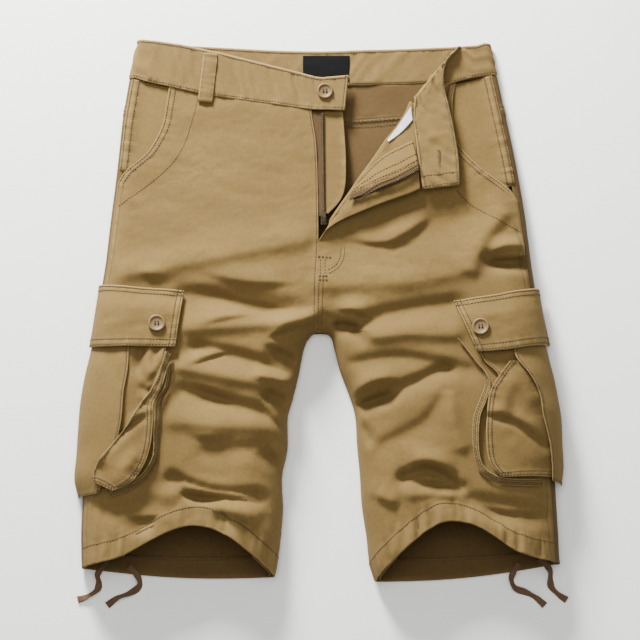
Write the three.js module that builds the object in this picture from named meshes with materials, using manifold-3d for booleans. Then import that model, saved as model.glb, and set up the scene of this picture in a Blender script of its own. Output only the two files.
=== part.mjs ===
import * as THREE from 'three';
import { mergeVertices } from 'three/addons/utils/BufferGeometryUtils.js';
import Module from 'manifold-3d';

// Cargo shorts lying flat on their back panels with the fly open.
// X runs to the wearer's left, Y to the waist, Z up. Millimetres.
// "right" and "left" in every name are the wearer's.

const clothWall = 1.2;
const bandWall = 2.4;
const flapWall = 2.0;
const loopWall = 1.6;
const pocketWall = 1.2;
const tapeWall = 0.8;
const labelWall = 0.9;
const cordWall = 1.2;
const cordWide = 6.5;
const seamGap = 0.3;

const foldHeight = 4.6;
const underFold = 5;
const seamInset = { right: 3, left: 6 };
const waistButton = 18;
const pocketButton = 19;

// Height of the upper layer's middle above the surface, by distance up the garment
const puffHeight = [
  { y: -300, high: 45 },
  { y: -240, high: 44 },
  { y: -180, high: 42 },
  { y: -100, high: 39 },
  { y: -20, high: 32 },
  { y: 60, high: 25 },
  { y: 130, high: 18 },
  { y: 190, high: 13 },
  { y: 250, high: 10.5 },
  { y: 330, high: 9 },
];

// Outer edges, where the cloth folds round the wearer's sides
const sideEdge = [
  { y: 330, right: -201.5, left: 187 },
  { y: 290, right: -210, left: 194.5 },
  { y: 264, right: -214, left: 200 },
  { y: 224, right: -220, left: 208 },
  { y: 184, right: -223.5, left: 216 },
  { y: 155, right: -226.5, left: 221 },
  { y: 116, right: -231, left: 227 },
  { y: 62, right: -236.5, left: 233 },
  { y: 20, right: -243, left: 239 },
  { y: -30, right: -249, left: 246 },
  { y: -100, right: -254, left: 252 },
  { y: -180, right: -258, left: 256 },
  { y: -240, right: -260, left: 259 },
  { y: -300, right: -258, left: 261 },
];

// Centre front seam and fly line
const frontSeam = [
  { y: 240, x: -10 },
  { y: 206, x: -5 },
  { y: 170, x: -3 },
  { y: 110, x: -2 },
  { y: 76, x: -2 },
  { y: 42, x: -4 },
  { y: 9, x: -4.75 },
  { y: -20, x: -4.75 },
];

// Rows of cloth from the fork to the hem: side edge height, then the inseam point
const rightLeg = [
  { side: -34, x: -5.5, y: -16.1 },
  { side: -42, x: -9, y: -17.8 },
  { side: -51, x: -13, y: -22.5 },
  { side: -62, x: -18, y: -33 },
  { side: -82, x: -23.5, y: -60 },
  { side: -102, x: -29.5, y: -87 },
  { side: -124, x: -36, y: -112 },
  { side: -152, x: -36, y: -144 },
  { side: -182, x: -42, y: -176 },
  { side: -211, x: -41, y: -208 },
  { side: -240, x: -43, y: -241 },
  { side: -262, x: -46, y: -267 },
  { side: -277, x: -50, y: -286 },
];
const leftLeg = [
  { side: -34, x: -4, y: -16.1 },
  { side: -42, x: 6, y: -16.4 },
  { side: -51, x: 12.5, y: -21 },
  { side: -62, x: 16, y: -33 },
  { side: -82, x: 22.5, y: -59 },
  { side: -102, x: 32.5, y: -86 },
  { side: -124, x: 39, y: -110 },
  { side: -152, x: 41, y: -142 },
  { side: -182, x: 44, y: -175 },
  { side: -211, x: 46, y: -208 },
  { side: -240, x: 51, y: -243 },
  { side: -259, x: 54, y: -270 },
  { side: -272, x: 61, y: -291 },
];

// Front hem edge: rise above the straight line between its two ends
const hemArchRight = [
  { across: 0, rise: 0 },
  { across: 0.18, rise: 8 },
  { across: 0.32, rise: 24 },
  { across: 0.44, rise: 38 },
  { across: 0.54, rise: 45.5 },
  { across: 0.62, rise: 46 },
  { across: 0.7, rise: 42 },
  { across: 0.8, rise: 31 },
  { across: 0.92, rise: 13 },
  { across: 1, rise: 0 },
];
const hemArchLeft = [
  { across: 0, rise: 0 },
  { across: 0.1, rise: 4 },
  { across: 0.22, rise: 13 },
  { across: 0.32, rise: 28 },
  { across: 0.42, rise: 42 },
  { across: 0.52, rise: 50 },
  { across: 0.62, rise: 52 },
  { across: 0.72, rise: 44 },
  { across: 0.82, rise: 30 },
  { across: 0.93, rise: 13 },
  { across: 1, rise: 0 },
];

// Soft folds in the upper layer: a ridge where high is positive, a trough where negative
const folds = [
  { x1: -217, y1: 44, x2: -141, y2: 60, x3: -22, y3: 84, high: 4, wide: 17 },
  { x1: -150, y1: 24, x2: -97, y2: 21, x3: -22, y3: 6, high: -5, wide: 15 },
  { x1: -146, y1: -17, x2: -80, y2: -13, x3: -20, y3: -6, high: 4, wide: 12 },
  { x1: -135, y1: -34, x2: -80, y2: -48, x3: -40, y3: -64, high: -6, wide: 11 },
  { x1: -152, y1: -62, x2: -90, y2: -74, x3: -34, y3: -84, high: 4, wide: 10 },
  { x1: -150, y1: -84, x2: -100, y2: -98, x3: -48, y3: -112, high: -6, wide: 12 },
  { x1: -158, y1: -122, x2: -100, y2: -126, x3: -46, y3: -128, high: 4, wide: 14 },
  { x1: -122, y1: -152, x2: -90, y2: -150, x3: -58, y3: -146, high: -3, wide: 11 },
  { x1: -160, y1: -182, x2: -120, y2: -197, x3: -66, y3: -201, high: -8, wide: 10 },
  { x1: -162, y1: -206, x2: -120, y2: -214, x3: -70, y3: -224, high: 3, wide: 12 },
  { x1: -240, y1: -212, x2: -215, y2: -214, x3: -190, y3: -208, high: -4, wide: 12 },
  { x1: 36, y1: 92, x2: 97, y2: 112, x3: 140, y3: 112, high: -4, wide: 26 },
  { x1: 12, y1: 33, x2: 87, y2: 36, x3: 150, y3: 48, high: 4, wide: 18 },
  { x1: 200, y1: 112, x2: 180, y2: 84, x3: 168, y3: 50, high: 4, wide: 12 },
  { x1: 184, y1: 66, x2: 204, y2: 62, x3: 222, y3: 62, high: -4, wide: 9 },
  { x1: 50, y1: -3, x2: 97, y2: 8, x3: 150, y3: 16, high: -5, wide: 13 },
  { x1: 6, y1: -3, x2: 30, y2: -10, x3: 44, y3: -24, high: -4, wide: 9 },
  { x1: 60, y1: -26, x2: 100, y2: -22, x3: 146, y3: -24, high: 4, wide: 13 },
  { x1: 34, y1: -54, x2: 90, y2: -48, x3: 160, y3: -62, high: -4, wide: 11 },
  { x1: 42, y1: -94, x2: 90, y2: -80, x3: 136, y3: -58, high: -6, wide: 9 },
  { x1: 141, y1: -94, x2: 147, y2: -126, x3: 154, y3: -150, high: 4, wide: 10 },
  { x1: 66, y1: -146, x2: 112, y2: -122, x3: 138, y3: -88, high: -3, wide: 12 },
  { x1: 92, y1: -180, x2: 122, y2: -175, x3: 150, y3: -192, high: -8, wide: 9 },
  { x1: 164, y1: -206, x2: 204, y2: -212, x3: 240, y3: -218, high: -5, wide: 12 },
  { x1: 100, y1: -203, x2: 122, y2: -200, x3: 142, y3: -203, high: 3, wide: 9 },
];

// Wearer's right pocket mouth, from the waistband to the side seam
const mouthRight = [
  { x: -168, y: 263.6, seamX: -10.2, seamY: 237.6 },
  { x: -171, y: 243, seamX: -8, seamY: 222 },
  { x: -174.5, y: 222, seamX: -5.6, seamY: 207 },
  { x: -181, y: 205, seamX: -4, seamY: 190 },
  { x: -192, y: 186.5, seamX: -3.2, seamY: 173 },
  { x: -205, y: 174.5, seamX: -2.8, seamY: 157 },
  { x: -217, y: 164, seamX: -2.4, seamY: 141 },
  { x: -224, y: 152, seamX: -2.1, seamY: 126 },
];

// Wearer's left front, turned back on itself: pocket mouth, crease and fly edge
const turnedFront = [
  { x: 151, y: 268.6, creaseX: 100, creaseY: 245.4, flyX: 110.4, flyY: 142.5, lift: 11 },
  { x: 147.5, y: 247, creaseX: 94, creaseY: 231, flyX: 99, flyY: 137, lift: 12 },
  { x: 148, y: 222, creaseX: 84, creaseY: 215, flyX: 84, flyY: 131.5, lift: 12.5 },
  { x: 151, y: 203, creaseX: 72, creaseY: 200, flyX: 68, flyY: 125.5, lift: 12 },
  { x: 160, y: 188, creaseX: 59, creaseY: 180, flyX: 52, flyY: 119, lift: 11 },
  { x: 171, y: 176, creaseX: 45, creaseY: 160, flyX: 37.5, flyY: 113, lift: 10 },
  { x: 184, y: 164, creaseX: 31.5, creaseY: 139, flyX: 24, flyY: 107, lift: 9 },
  { x: 199, y: 153, creaseX: 20, creaseY: 122, flyX: 14, flyY: 101, lift: 7.5 },
  { x: 211, y: 143, creaseX: 11, creaseY: 108, flyX: 6.5, flyY: 95, lift: 6.5 },
];

// Waistband from its button end round the back to its buttonhole end:
// top edge, lower edge and how far it stands off the layer under it
const bandFront = [
  { topX: 31, topY: 276, lowX: 27, lowY: 236.6, lift: 1.4 },
  { topX: 15, topY: 274.6, lowX: 8, lowY: 237.4, lift: 1.4 },
  { topX: -2, topY: 274, lowX: -10, lowY: 238, lift: 0.8 },
  { topX: -25, topY: 280, lowX: -36, lowY: 241.6, lift: 0.6 },
  { topX: -48, topY: 286, lowX: -63, lowY: 245.4, lift: 0.6 },
  { topX: -79, topY: 294, lowX: -90, lowY: 249.2, lift: 0.6 },
  { topX: -110, topY: 302, lowX: -117, lowY: 253.4, lift: 0.6 },
  { topX: -129, topY: 306, lowX: -138, lowY: 257.6, lift: 0.6 },
  { topX: -150, topY: 311, lowX: -158, lowY: 262.2, lift: 0.6 },
  { topX: -170, topY: 314.4, lowX: -180, lowY: 267.2, lift: 0.4 },
  { topX: -184, topY: 316.4, lowX: -195, lowY: 270.6, lift: 0.2 },
];
const bandBack = [
  { topX: -150, topY: 313, lowX: -150, lowY: 271 },
  { topX: -101, topY: 310.4, lowX: -101, lowY: 269.6 },
  { topX: -50, topY: 307.6, lowX: -50, lowY: 268.4 },
  { topX: 0, topY: 306.6, lowX: 0, lowY: 268 },
  { topX: 48, topY: 308, lowX: 48, lowY: 268.4 },
  { topX: 96, topY: 309.4, lowX: 98, lowY: 269.8 },
  { topX: 145, topY: 311.4, lowX: 148, lowY: 273 },
];
const bandTurned = [
  { topX: 176, topY: 311, lowX: 170, lowY: 275, lift: 0.4 },
  { topX: 165, topY: 310.4, lowX: 138, lowY: 265.4, lift: 0.4 },
  { topX: 158, topY: 309.6, lowX: 115, lowY: 254, lift: 0.6 },
  { topX: 154.4, topY: 309.4, lowX: 106, lowY: 250.4, lift: 4.4 },
  { topX: 151.4, topY: 304.6, lowX: 106, lowY: 247.6, lift: 8 },
  { topX: 143.4, topY: 296, lowX: 105.4, lowY: 240, lift: 8.6 },
  { topX: 138, topY: 279, lowX: 104.6, lowY: 229, lift: 9 },
  { topX: 138, topY: 260, lowX: 105.4, lowY: 214, lift: 9.6 },
  { topX: 144, topY: 232, lowX: 107.4, lowY: 196, lift: 10.4 },
  { topX: 149, topY: 204, lowX: 109.6, lowY: 176, lift: 11 },
  { topX: 152.6, topY: 176, lowX: 112, lowY: 157, lift: 11.4 },
  { topX: 153.4, topY: 147.5, lowX: 114.6, lowY: 142.6, lift: 11.4 },
];

// Cloth behind the hip pocket mouths: side seam height and the hidden inner edge
const hipFacingRight = [
  { outY: 272.4, inX: -158, inY: 261 },
  { outY: 252, inX: -161, inY: 243 },
  { outY: 232, inX: -164, inY: 221 },
  { outY: 214, inX: -170, inY: 203 },
  { outY: 197, inX: -181, inY: 183 },
  { outY: 183, inX: -193, inY: 171 },
  { outY: 172, inX: -205, inY: 160 },
];
const hipFacingLeft = [
  { outY: 276.4, inX: 143, inY: 264.6 },
  { outY: 252, inX: 138, inY: 246 },
  { outY: 228, inX: 139, inY: 221 },
  { outY: 208, inX: 143, inY: 199 },
  { outY: 190, inX: 153, inY: 181 },
  { outY: 176, inX: 166, inY: 168 },
  { outY: 164, inX: 182, inY: 156 },
  { outY: 154, inX: 197, inY: 146 },
];
const pocketBagRows = [
  { upX: 101, upY: 238, lowX: 102.6, lowY: 223 },
  { upX: 93.5, upY: 226, lowX: 97, lowY: 216 },
  { upX: 85, upY: 213, lowX: 88, lowY: 207 },
  { upX: 75, upY: 200, lowX: 76, lowY: 198 },
];

const flyShieldRows = [
  { leftX: -7.5, rightX: 25, y: 235.6 },
  { leftX: -4.5, rightX: 27, y: 208 },
  { leftX: -3.4, rightX: 28.4, y: 180 },
  { leftX: -2.6, rightX: 27.6, y: 150 },
  { leftX: -2.2, rightX: 22, y: 132 },
  { leftX: -1.8, rightX: 9, y: 117 },
];
const flyFacingRows = [
  { upX: 102.6, upY: 198, lowX: 108.6, lowY: 169 },
  { upX: 85, upY: 190, lowX: 87, lowY: 156.4 },
  { upX: 69, upY: 180, lowX: 65, lowY: 147.4 },
  { upX: 55, upY: 166, lowX: 48, lowY: 140.4 },
  { upX: 41, upY: 148, lowX: 34, lowY: 136.4 },
];
const leftTapeRows = [
  { upX: 109, upY: 168, lowX: 108.4, lowY: 163.4 },
  { upX: 87.4, upY: 155.6, lowX: 86.4, lowY: 150.6 },
  { upX: 65.6, upY: 146.6, lowX: 64.4, lowY: 141.4 },
  { upX: 48.4, upY: 139.6, lowX: 47.6, lowY: 134.2 },
  { upX: 34, upY: 135.4, lowX: 33, lowY: 130 },
];

const zipWidth = 6.4;
const zipLength = 8;
const zipThick = 2.6;
const zipX = 4;
const zipY = 107;
const pullWide = 5;
const pullLong = 11;
const pullThick = 1.2;

// Flaps: upper edge and lower edge, from the side towards the middle
const flapRight = [
  { topX: -242.5, topY: 36, lowX: -252.5, lowY: -33, lift: 4 },
  { topX: -233, topY: 34, lowX: -243, lowY: -35.4, lift: 7 },
  { topX: -216, topY: 31.4, lowX: -226, lowY: -37, lift: 9 },
  { topX: -197, topY: 29.2, lowX: -206, lowY: -37.6, lift: 10 },
  { topX: -173, topY: 27.6, lowX: -182, lowY: -38, lift: 10 },
  { topX: -150, topY: 26.6, lowX: -158.5, lowY: -38.4, lift: 8 },
];
const flapLeft = [
  { topX: 240.5, topY: 32, lowX: 252.5, lowY: -30, lift: 4 },
  { topX: 232, topY: 29.4, lowX: 243, lowY: -33, lift: 7 },
  { topX: 214, topY: 25.6, lowX: 226, lowY: -37, lift: 9 },
  { topX: 194, topY: 21.4, lowX: 207, lowY: -41, lift: 10 },
  { topX: 170, topY: 17.8, lowX: 188, lowY: -43, lift: 10 },
  { topX: 147.5, topY: 15, lowX: 172, lowY: -43.4, lift: 7 },
];

// Cargo pocket cloth: a row of points across each piece, from the flap to the base
const sidePanelRight = [
  { outY: -28, outLift: 1.6, inX: -209, inY: -30, lift: 5.4 },
  { outY: -44, outLift: 3.4, inX: -209, inY: -46, lift: 6.4 },
  { outY: -64, outLift: 6.5, inX: -210, inY: -66, lift: 8 },
  { outY: -92, outLift: 9, inX: -214, inY: -92, lift: 8.5 },
  { outY: -122, outLift: 9.5, inX: -216, inY: -121, lift: 8.5 },
  { outY: -152, outLift: 9.5, inX: -222, inY: -149, lift: 8 },
  { outY: -180, outLift: 10, inX: -232, inY: -179, lift: 7 },
  { outY: -200, outLift: 4, inX: -240, inY: -200, lift: 4 },
];
const sidePanelLeft = [
  { outY: -24, outLift: 1.6, inX: 212, inY: -30, lift: 5.4 },
  { outY: -46, outLift: 4.4, inX: 214, inY: -50, lift: 8.4 },
  { outY: -70, outLift: 8, inX: 229, inY: -70, lift: 11.4 },
  { outY: -92, outLift: 10, inX: 239, inY: -90, lift: 11.4 },
  { outY: -114, outLift: 11.6, inX: 242.5, inY: -113, lift: 11.4 },
  { outY: -140, outLift: 11, inX: 249, inY: -140, lift: 11.2 },
  { outY: -166, outLift: 10.6, inX: 252, inY: -165, lift: 10.8 },
  { outY: -186, outLift: 7, inX: 252, inY: -185, lift: 8.4 },
];
const pleatRight = [
  { outX: -221, outY: -29, inX: -167, inY: -30, outLift: 2.4, lift: 4.4 },
  { outX: -221, outY: -50, inX: -170, inY: -50, outLift: 2.8, lift: 7 },
  { outX: -222, outY: -68, inX: -174, inY: -69, outLift: 2.8, lift: 8 },
  { outX: -225, outY: -90, inX: -182, inY: -88, outLift: 2.8, lift: 7 },
  { outX: -227, outY: -112, inX: -194, inY: -108, outLift: 2.8, lift: 5 },
  { outX: -229, outY: -134, inX: -208, inY: -130, outLift: 2.8, lift: 4 },
];
const pleatLeft = [
  { outX: 226, outY: -28, inX: 172, inY: -34, outLift: 2.4, lift: 2.4 },
  { outX: 232, outY: -48, inX: 180, inY: -54, outLift: 2.6, lift: 3.4 },
  { outX: 238, outY: -72, inX: 194, inY: -69, outLift: 2.6, lift: 4.6 },
  { outX: 240, outY: -96, inX: 200, inY: -92, outLift: 2.6, lift: 3 },
];
const facePanelRight = [
  { outX: -168, outY: -46, inX: -163, inY: -49, outLift: 12.5, lift: 10 },
  { outX: -181, outY: -83, inX: -172, inY: -84, outLift: 12.5, lift: 11 },
  { outX: -194, outY: -102, inX: -181, inY: -104, outLift: 13, lift: 12 },
  { outX: -206, outY: -122, inX: -181.5, inY: -124, outLift: 13, lift: 12 },
  { outX: -221, outY: -142, inX: -183.5, inY: -148, outLift: 13, lift: 12 },
  { outX: -236, outY: -161, inX: -190, inY: -170, outLift: 12.4, lift: 11.4 },
  { outX: -245, outY: -177, inX: -204, inY: -190, outLift: 11.6, lift: 10.6 },
  { outX: -243, outY: -189, inX: -224, inY: -199, outLift: 10, lift: 9 },
];
const facePanelLeft = [
  { outX: 222, outY: -54, inX: 207, inY: -55, outLift: 6.2, lift: 7.4 },
  { outX: 237, outY: -73, inX: 193, inY: -75, outLift: 7, lift: 8 },
  { outX: 246, outY: -93, inX: 184.5, inY: -92, outLift: 7.4, lift: 8 },
  { outX: 250, outY: -113, inX: 181.5, inY: -116, outLift: 7.4, lift: 8 },
  { outX: 255, outY: -137, inX: 180.5, inY: -142, outLift: 7.4, lift: 8 },
  { outX: 257, outY: -161, inX: 184, inY: -168, outLift: 7.4, lift: 7.6 },
  { outX: 255, outY: -180, inX: 197, inY: -184, outLift: 6, lift: 7 },
];
const gussetRight = [
  { x: -160, y: -54, lift: 6 },
  { x: -163.5, y: -80, lift: 8.6 },
  { x: -171, y: -97, lift: 9.4 },
  { x: -173, y: -118, lift: 9.6 },
  { x: -175, y: -142, lift: 9.6 },
  { x: -177, y: -166, lift: 9 },
  { x: -189, y: -186, lift: 7.6 },
  { x: -208, y: -198, lift: 6.4 },
  { x: -226, y: -203.6, lift: 4.4 },
];
const gussetLeft = [
  { x: 151, y: -28, lift: 5 },
  { x: 164, y: -46, lift: 5.6 },
  { x: 177, y: -63, lift: 5.8 },
  { x: 180, y: -80, lift: 5.8 },
  { x: 174, y: -98, lift: 5.8 },
  { x: 167.5, y: -116, lift: 5.8 },
  { x: 166, y: -136, lift: 5.8 },
  { x: 167, y: -156, lift: 5.8 },
  { x: 173, y: -177, lift: 5.4 },
  { x: 192, y: -190, lift: 5 },
  { x: 218, y: -192.6, lift: 4.4 },
  { x: 240, y: -191.4, lift: 3.6 },
];

// Drawcord routes, from the casing's eyelet to the free end
const cordRoutes = {
  drawcord_right_outer: [
    { x: -232, y: -269, z: 4.8 },
    { x: -238, y: -277, z: 4.6 },
    { x: -242, y: -284.5, z: 3.4 },
    { x: -240.5, y: -293, z: 1 },
    { x: -243, y: -301, z: 1 },
    { x: -254, y: -308, z: 1 },
    { x: -263, y: -311, z: 1 },
  ],
  drawcord_right_inner: [
    { x: -208, y: -275, z: 4.8 },
    { x: -201, y: -282, z: 4.6 },
    { x: -196.5, y: -289.5, z: 2.8 },
    { x: -197, y: -297, z: 1 },
    { x: -207, y: -304, z: 1 },
    { x: -220, y: -309, z: 1 },
    { x: -231, y: -317, z: 1 },
  ],
  drawcord_left_inner: [
    { x: 217, y: -272, z: 4.8 },
    { x: 211, y: -280, z: 4.6 },
    { x: 208, y: -288.5, z: 2.8 },
    { x: 212, y: -298, z: 1 },
    { x: 224, y: -303, z: 1 },
    { x: 235, y: -309, z: 1 },
    { x: 244, y: -317, z: 1 },
  ],
  drawcord_left_outer: [
    { x: 239, y: -266, z: 4.8 },
    { x: 246, y: -273, z: 4.6 },
    { x: 250.5, y: -280.5, z: 3.4 },
    { x: 250.5, y: -290, z: 1 },
    { x: 252, y: -298, z: 1 },
    { x: 260, y: -306, z: 1 },
    { x: 268, y: -311, z: 1 },
  ],
};

const colours = {
  khaki: '#bea97c',
  khakiBand: '#b59c6c',
  khakiInside: '#a98f62',
  pocketing: '#f0f2f5',
  label: '#101010',
  button: '#b08a52',
  zip: '#6d5a3c',
  zipTape: '#8a744c',
  cord: '#77604a',
};

// ---- small maths ----

const lerp = (a, b, t) => a + (b - a) * t;
const clamp = (v, a, b) => Math.min(b, Math.max(a, v));
const smooth = (v) => {
  const t = clamp(v, 0, 1);
  return t * t * (3 - 2 * t);
};

const column = (table, key, name, at) => {
  const up = table[0][key] < table[table.length - 1][key];
  const rows = up ? table : [...table].reverse();
  if (at <= rows[0][key]) return rows[0][name];
  for (let i = 1; i < rows.length; i += 1) {
    if (at <= rows[i][key]) {
      const t = (at - rows[i - 1][key]) / (rows[i][key] - rows[i - 1][key]);
      return lerp(rows[i - 1][name], rows[i][name], t);
    }
  }
  return rows[rows.length - 1][name];
};

// Rows of a table read as a smooth curve through every named column
const through = (table, t) => {
  const at = clamp(t, 0, 1) * (table.length - 1);
  const i = Math.min(Math.floor(at), table.length - 2);
  const f = at - i;
  const a = table[Math.max(i - 1, 0)];
  const b = table[i];
  const c = table[i + 1];
  const d = table[Math.min(i + 2, table.length - 1)];
  const out = {};
  for (const key of Object.keys(b)) {
    const m0 = (c[key] - a[key]) / 2;
    const m1 = (d[key] - b[key]) / 2;
    const f2 = f * f;
    const f3 = f2 * f;
    const near = (2 * f3 - 3 * f2 + 1) * b[key] + (f3 - 2 * f2 + f) * m0;
    out[key] = near + (3 * f2 - 2 * f3) * c[key] + (f3 - f2) * m1;
  }
  return out;
};
const steps = (n) => Array.from({ length: n + 1 }, (_, i) => i / n);
const v3 = (x, y, z) => new THREE.Vector3(x, y, z);

const distanceTo = (x, y, line) => {
  let best = Infinity;
  for (let i = 1; i < line.length; i += 1) {
    const ax = line[i - 1].x;
    const ay = line[i - 1].y;
    const dx = line[i].x - ax;
    const dy = line[i].y - ay;
    const t = clamp(((x - ax) * dx + (y - ay) * dy) / (dx * dx + dy * dy), 0, 1);
    best = Math.min(best, Math.hypot(x - ax - dx * t, y - ay - dy * t));
  }
  return best;
};

// ---- the form of the upper and lower layers ----

const side = (name, y) => column(sideEdge, 'y', name, y);
const seamAt = (y) => column(frontSeam, 'y', 'x', y);
const gapLine = [...[...rightLeg].reverse(), ...leftLeg.slice(1)];

const quarter = (s) => {
  const t = clamp(1 - s, 0, 1);
  return Math.sqrt(1 - t * t);
};

const foldSum = (x, y) => {
  let sum = 0;
  for (const f of folds) {
    const line = [
      { x: f.x1, y: f.y1 },
      { x: f.x2, y: f.y2 },
      { x: f.x3, y: f.y3 },
    ];
    const d = distanceTo(x, y, line) / f.wide;
    sum += f.high * Math.exp(-d * d);
  }
  return sum;
};

// Height of a layer that stands off the front by the lift, round the side fold as well
const shell = (x, y, lift) => {
  const rise = column(puffHeight, 'y', 'high', y) - foldHeight + lift;
  const span = rise * 1.4 + 2;
  const out = (x < 0 ? x - side('right', y) : side('left', y) - x) + lift;
  const gap = y > 60 ? 90 : distanceTo(x, y, gapLine);
  const edge = quarter(out / span);
  const inner = quarter(gap / (rise * 1.3));
  const calm = smooth(out / 30) * smooth(gap / 30);
  return foldHeight + rise * edge * inner + foldSum(x, y) * calm;
};
const upper = (x, y) => shell(x, y, 0);

const lower = (x, y, wall = clothWall) => {
  const gap = y > 60 ? 90 : distanceTo(x, y, gapLine);
  return wall / 2 + (foldHeight - wall / 2) * (1 - quarter(gap / underFold));
};

// ---- closed walls from grids of points ----

const gridNormals = (grid, closed) => {
  const rows = grid.length;
  const cols = grid[0].length;
  return grid.map((row, i) => row.map((_, j) => {
    const up = grid[Math.min(i + 1, rows - 1)][j];
    const down = grid[Math.max(i - 1, 0)][j];
    const jr = closed ? (j + 1) % cols : Math.min(j + 1, cols - 1);
    const jl = closed ? (j - 1 + cols) % cols : Math.max(j - 1, 0);
    const di = up.clone().sub(down);
    const dj = grid[i][jr].clone().sub(grid[i][jl]);
    return dj.cross(di).normalize();
  }));
};

const wall = (grid, thick, closed = false) => {
  const normals = gridNormals(grid, closed);
  const rows = grid.length;
  const cols = grid[0].length;
  const points = [];
  for (const sign of [1, -1]) {
    for (let i = 0; i < rows; i += 1) {
      for (let j = 0; j < cols; j += 1) {
        const n = normals[i][j].clone().multiplyScalar((sign * thick) / 2);
        points.push(grid[i][j].clone().add(n));
      }
    }
  }
  const top = (i, j) => i * cols + (j % cols);
  const under = (i, j) => rows * cols + top(i, j);
  const index = [];
  const across = closed ? cols : cols - 1;
  for (let i = 0; i < rows - 1; i += 1) {
    for (let j = 0; j < across; j += 1) {
      index.push(top(i, j), top(i, j + 1), top(i + 1, j + 1));
      index.push(top(i, j), top(i + 1, j + 1), top(i + 1, j));
      index.push(under(i, j), under(i + 1, j + 1), under(i, j + 1));
      index.push(under(i, j), under(i + 1, j), under(i + 1, j + 1));
    }
  }
  const rim = (ai, aj, bi, bj) => {
    index.push(top(ai, aj), under(ai, aj), under(bi, bj));
    index.push(top(ai, aj), under(bi, bj), top(bi, bj));
  };
  for (let j = 0; j < across; j += 1) {
    rim(0, j, 0, j + 1);
    rim(rows - 1, j + 1, rows - 1, j);
  }
  if (!closed) {
    for (let i = 0; i < rows - 1; i += 1) {
      rim(i, cols - 1, i + 1, cols - 1);
      rim(i + 1, 0, i, 0);
    }
  }
  const geometry = new THREE.BufferGeometry();
  const flat = points.flatMap((p) => [p.x, p.y, p.z]);
  geometry.setAttribute('position', new THREE.Float32BufferAttribute(flat, 3));
  geometry.setIndex(index);
  return geometry;
};

const group = new THREE.Group();
const add = (name, geometry, color, roughness = 0.92, metalness = 0) => {
  geometry.computeVertexNormals();
  const look = new THREE.MeshStandardMaterial({ color, roughness, metalness });
  const mesh = new THREE.Mesh(geometry, look);
  mesh.name = name;
  group.add(mesh);
};

// ---- front panels ----

const widthSteps = [0, 0.03, 0.08, 0.16, 0.28, 0.42, 0.57, 0.72, 0.85, 0.93, 0.975, 1];

const hemLift = (arch, u, v) => column(arch, 'across', 'rise', u) * Math.pow(v, 1.8);

const frontRightRow = (t) => {
  const count = mouthRight.length;
  if (t < 1) {
    const r = through(mouthRight, t);
    return { ax: r.x, ay: r.y, bx: r.seamX - seamGap / 2, by: r.seamY, v: 0 };
  }
  if (t < 2) {
    const f = t - 1;
    const sideY = lerp(mouthRight[count - 1].y, rightLeg[0].side, f);
    const innerY = lerp(mouthRight[count - 1].seamY, rightLeg[0].y, f);
    const ax = side('right', sideY) + seamInset.right;
    return { ax, ay: sideY, bx: seamAt(innerY) - seamGap / 2, by: innerY, v: 0 };
  }
  const r = through(rightLeg, t - 2);
  const ax = side('right', r.side) + seamInset.right;
  return { ax, ay: r.side, bx: r.x, by: r.y, v: smooth((t - 2.35) / 0.65) };
};
const frontRightTimes = [
  ...steps(7),
  ...steps(7).slice(1).map((t) => 1 + t),
  ...steps(18).slice(1).map((t) => 2 + t),
];
const frontRightPoint = (t, u) => {
  const r = frontRightRow(t);
  const x = lerp(r.ax, r.bx, u);
  const sag = t < 1 ? -3 * Math.sin(Math.PI * u) * (1 - t) : 0;
  const y = lerp(r.ay, r.by, u) + hemLift(hemArchRight, u, r.v) + sag;
  return v3(x, y, Math.max(upper(x, y), foldHeight + 0.95));
};
const frontRight = frontRightTimes.map((t) => widthSteps.map((u) => frontRightPoint(t, u)));
add('front_right', wall(frontRight, clothWall), colours.khaki);

const rollRadius = 3;
const turnedRow = (t) => {
  const r = through(turnedFront, t);
  const inward = v3(0.83, -0.56, 0);
  const room = Math.hypot(r.flyX - r.creaseX, r.flyY - r.creaseY);
  const radius = Math.min(rollRadius, room * 0.16);
  const row = [];
  const cx = r.creaseX + inward.x * radius;
  const cy = r.creaseY + inward.y * radius;
  for (const u of [0, 0.045, 0.13, 0.28, 0.48, 0.74, 1]) {
    const x = lerp(r.x, cx, u);
    const y = lerp(r.y, cy, u);
    row.push(v3(x, y, upper(x, y)));
  }
  const base = upper(cx, cy);
  for (const angle of [-45, 0, 45]) {
    const a = THREE.MathUtils.degToRad(angle);
    const out = radius * (1 - Math.cos(a));
    const x = r.creaseX + inward.x * out;
    const y = r.creaseY + inward.y * out;
    row.push(v3(x, y, base + radius + radius * Math.sin(a)));
  }
  for (const u of [0, 0.33, 0.66, 1]) {
    const x = lerp(cx, r.flyX, u);
    const y = lerp(cy, r.flyY, u);
    const lift = lerp(radius * 2, r.lift, smooth(u));
    row.push(v3(x, y, upper(x, y) + lift));
  }
  return row;
};
const leftSteps = [0, 0.04, 0.11, 0.23, 0.4, 0.6, 0.8, 0.86, 0.9, 0.93, 0.95, 0.97, 0.988, 1];
const tightSteps = [0, 0.04, 0.12, 0.27, 0.48, 0.72, 0.94, 0.95, 0.958, 0.966, 0.975, 0.984, 0.992, 1];
const frontLeftRow = (t) => {
  if (t < 1) {
    const sideY = lerp(132, leftLeg[0].side, t);
    const innerY = lerp(84, leftLeg[0].y, t);
    const ax = side('left', sideY) - seamInset.left;
    return { ax, ay: sideY, bx: seamAt(innerY) + seamGap / 2, by: innerY, v: 0 };
  }
  const r = through(leftLeg, t - 1);
  const ax = side('left', r.side) - seamInset.left;
  return { ax, ay: r.side, bx: r.x, by: r.y, v: smooth((t - 1.35) / 0.65) };
};
const frontLeftPoint = (t, u) => {
  const r = frontLeftRow(t);
  const x = lerp(r.ax, r.bx, u);
  const y = lerp(r.ay, r.by, u) + hemLift(hemArchLeft, u, r.v);
  return v3(x, y, Math.max(upper(x, y), foldHeight + 0.95));
};
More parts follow.
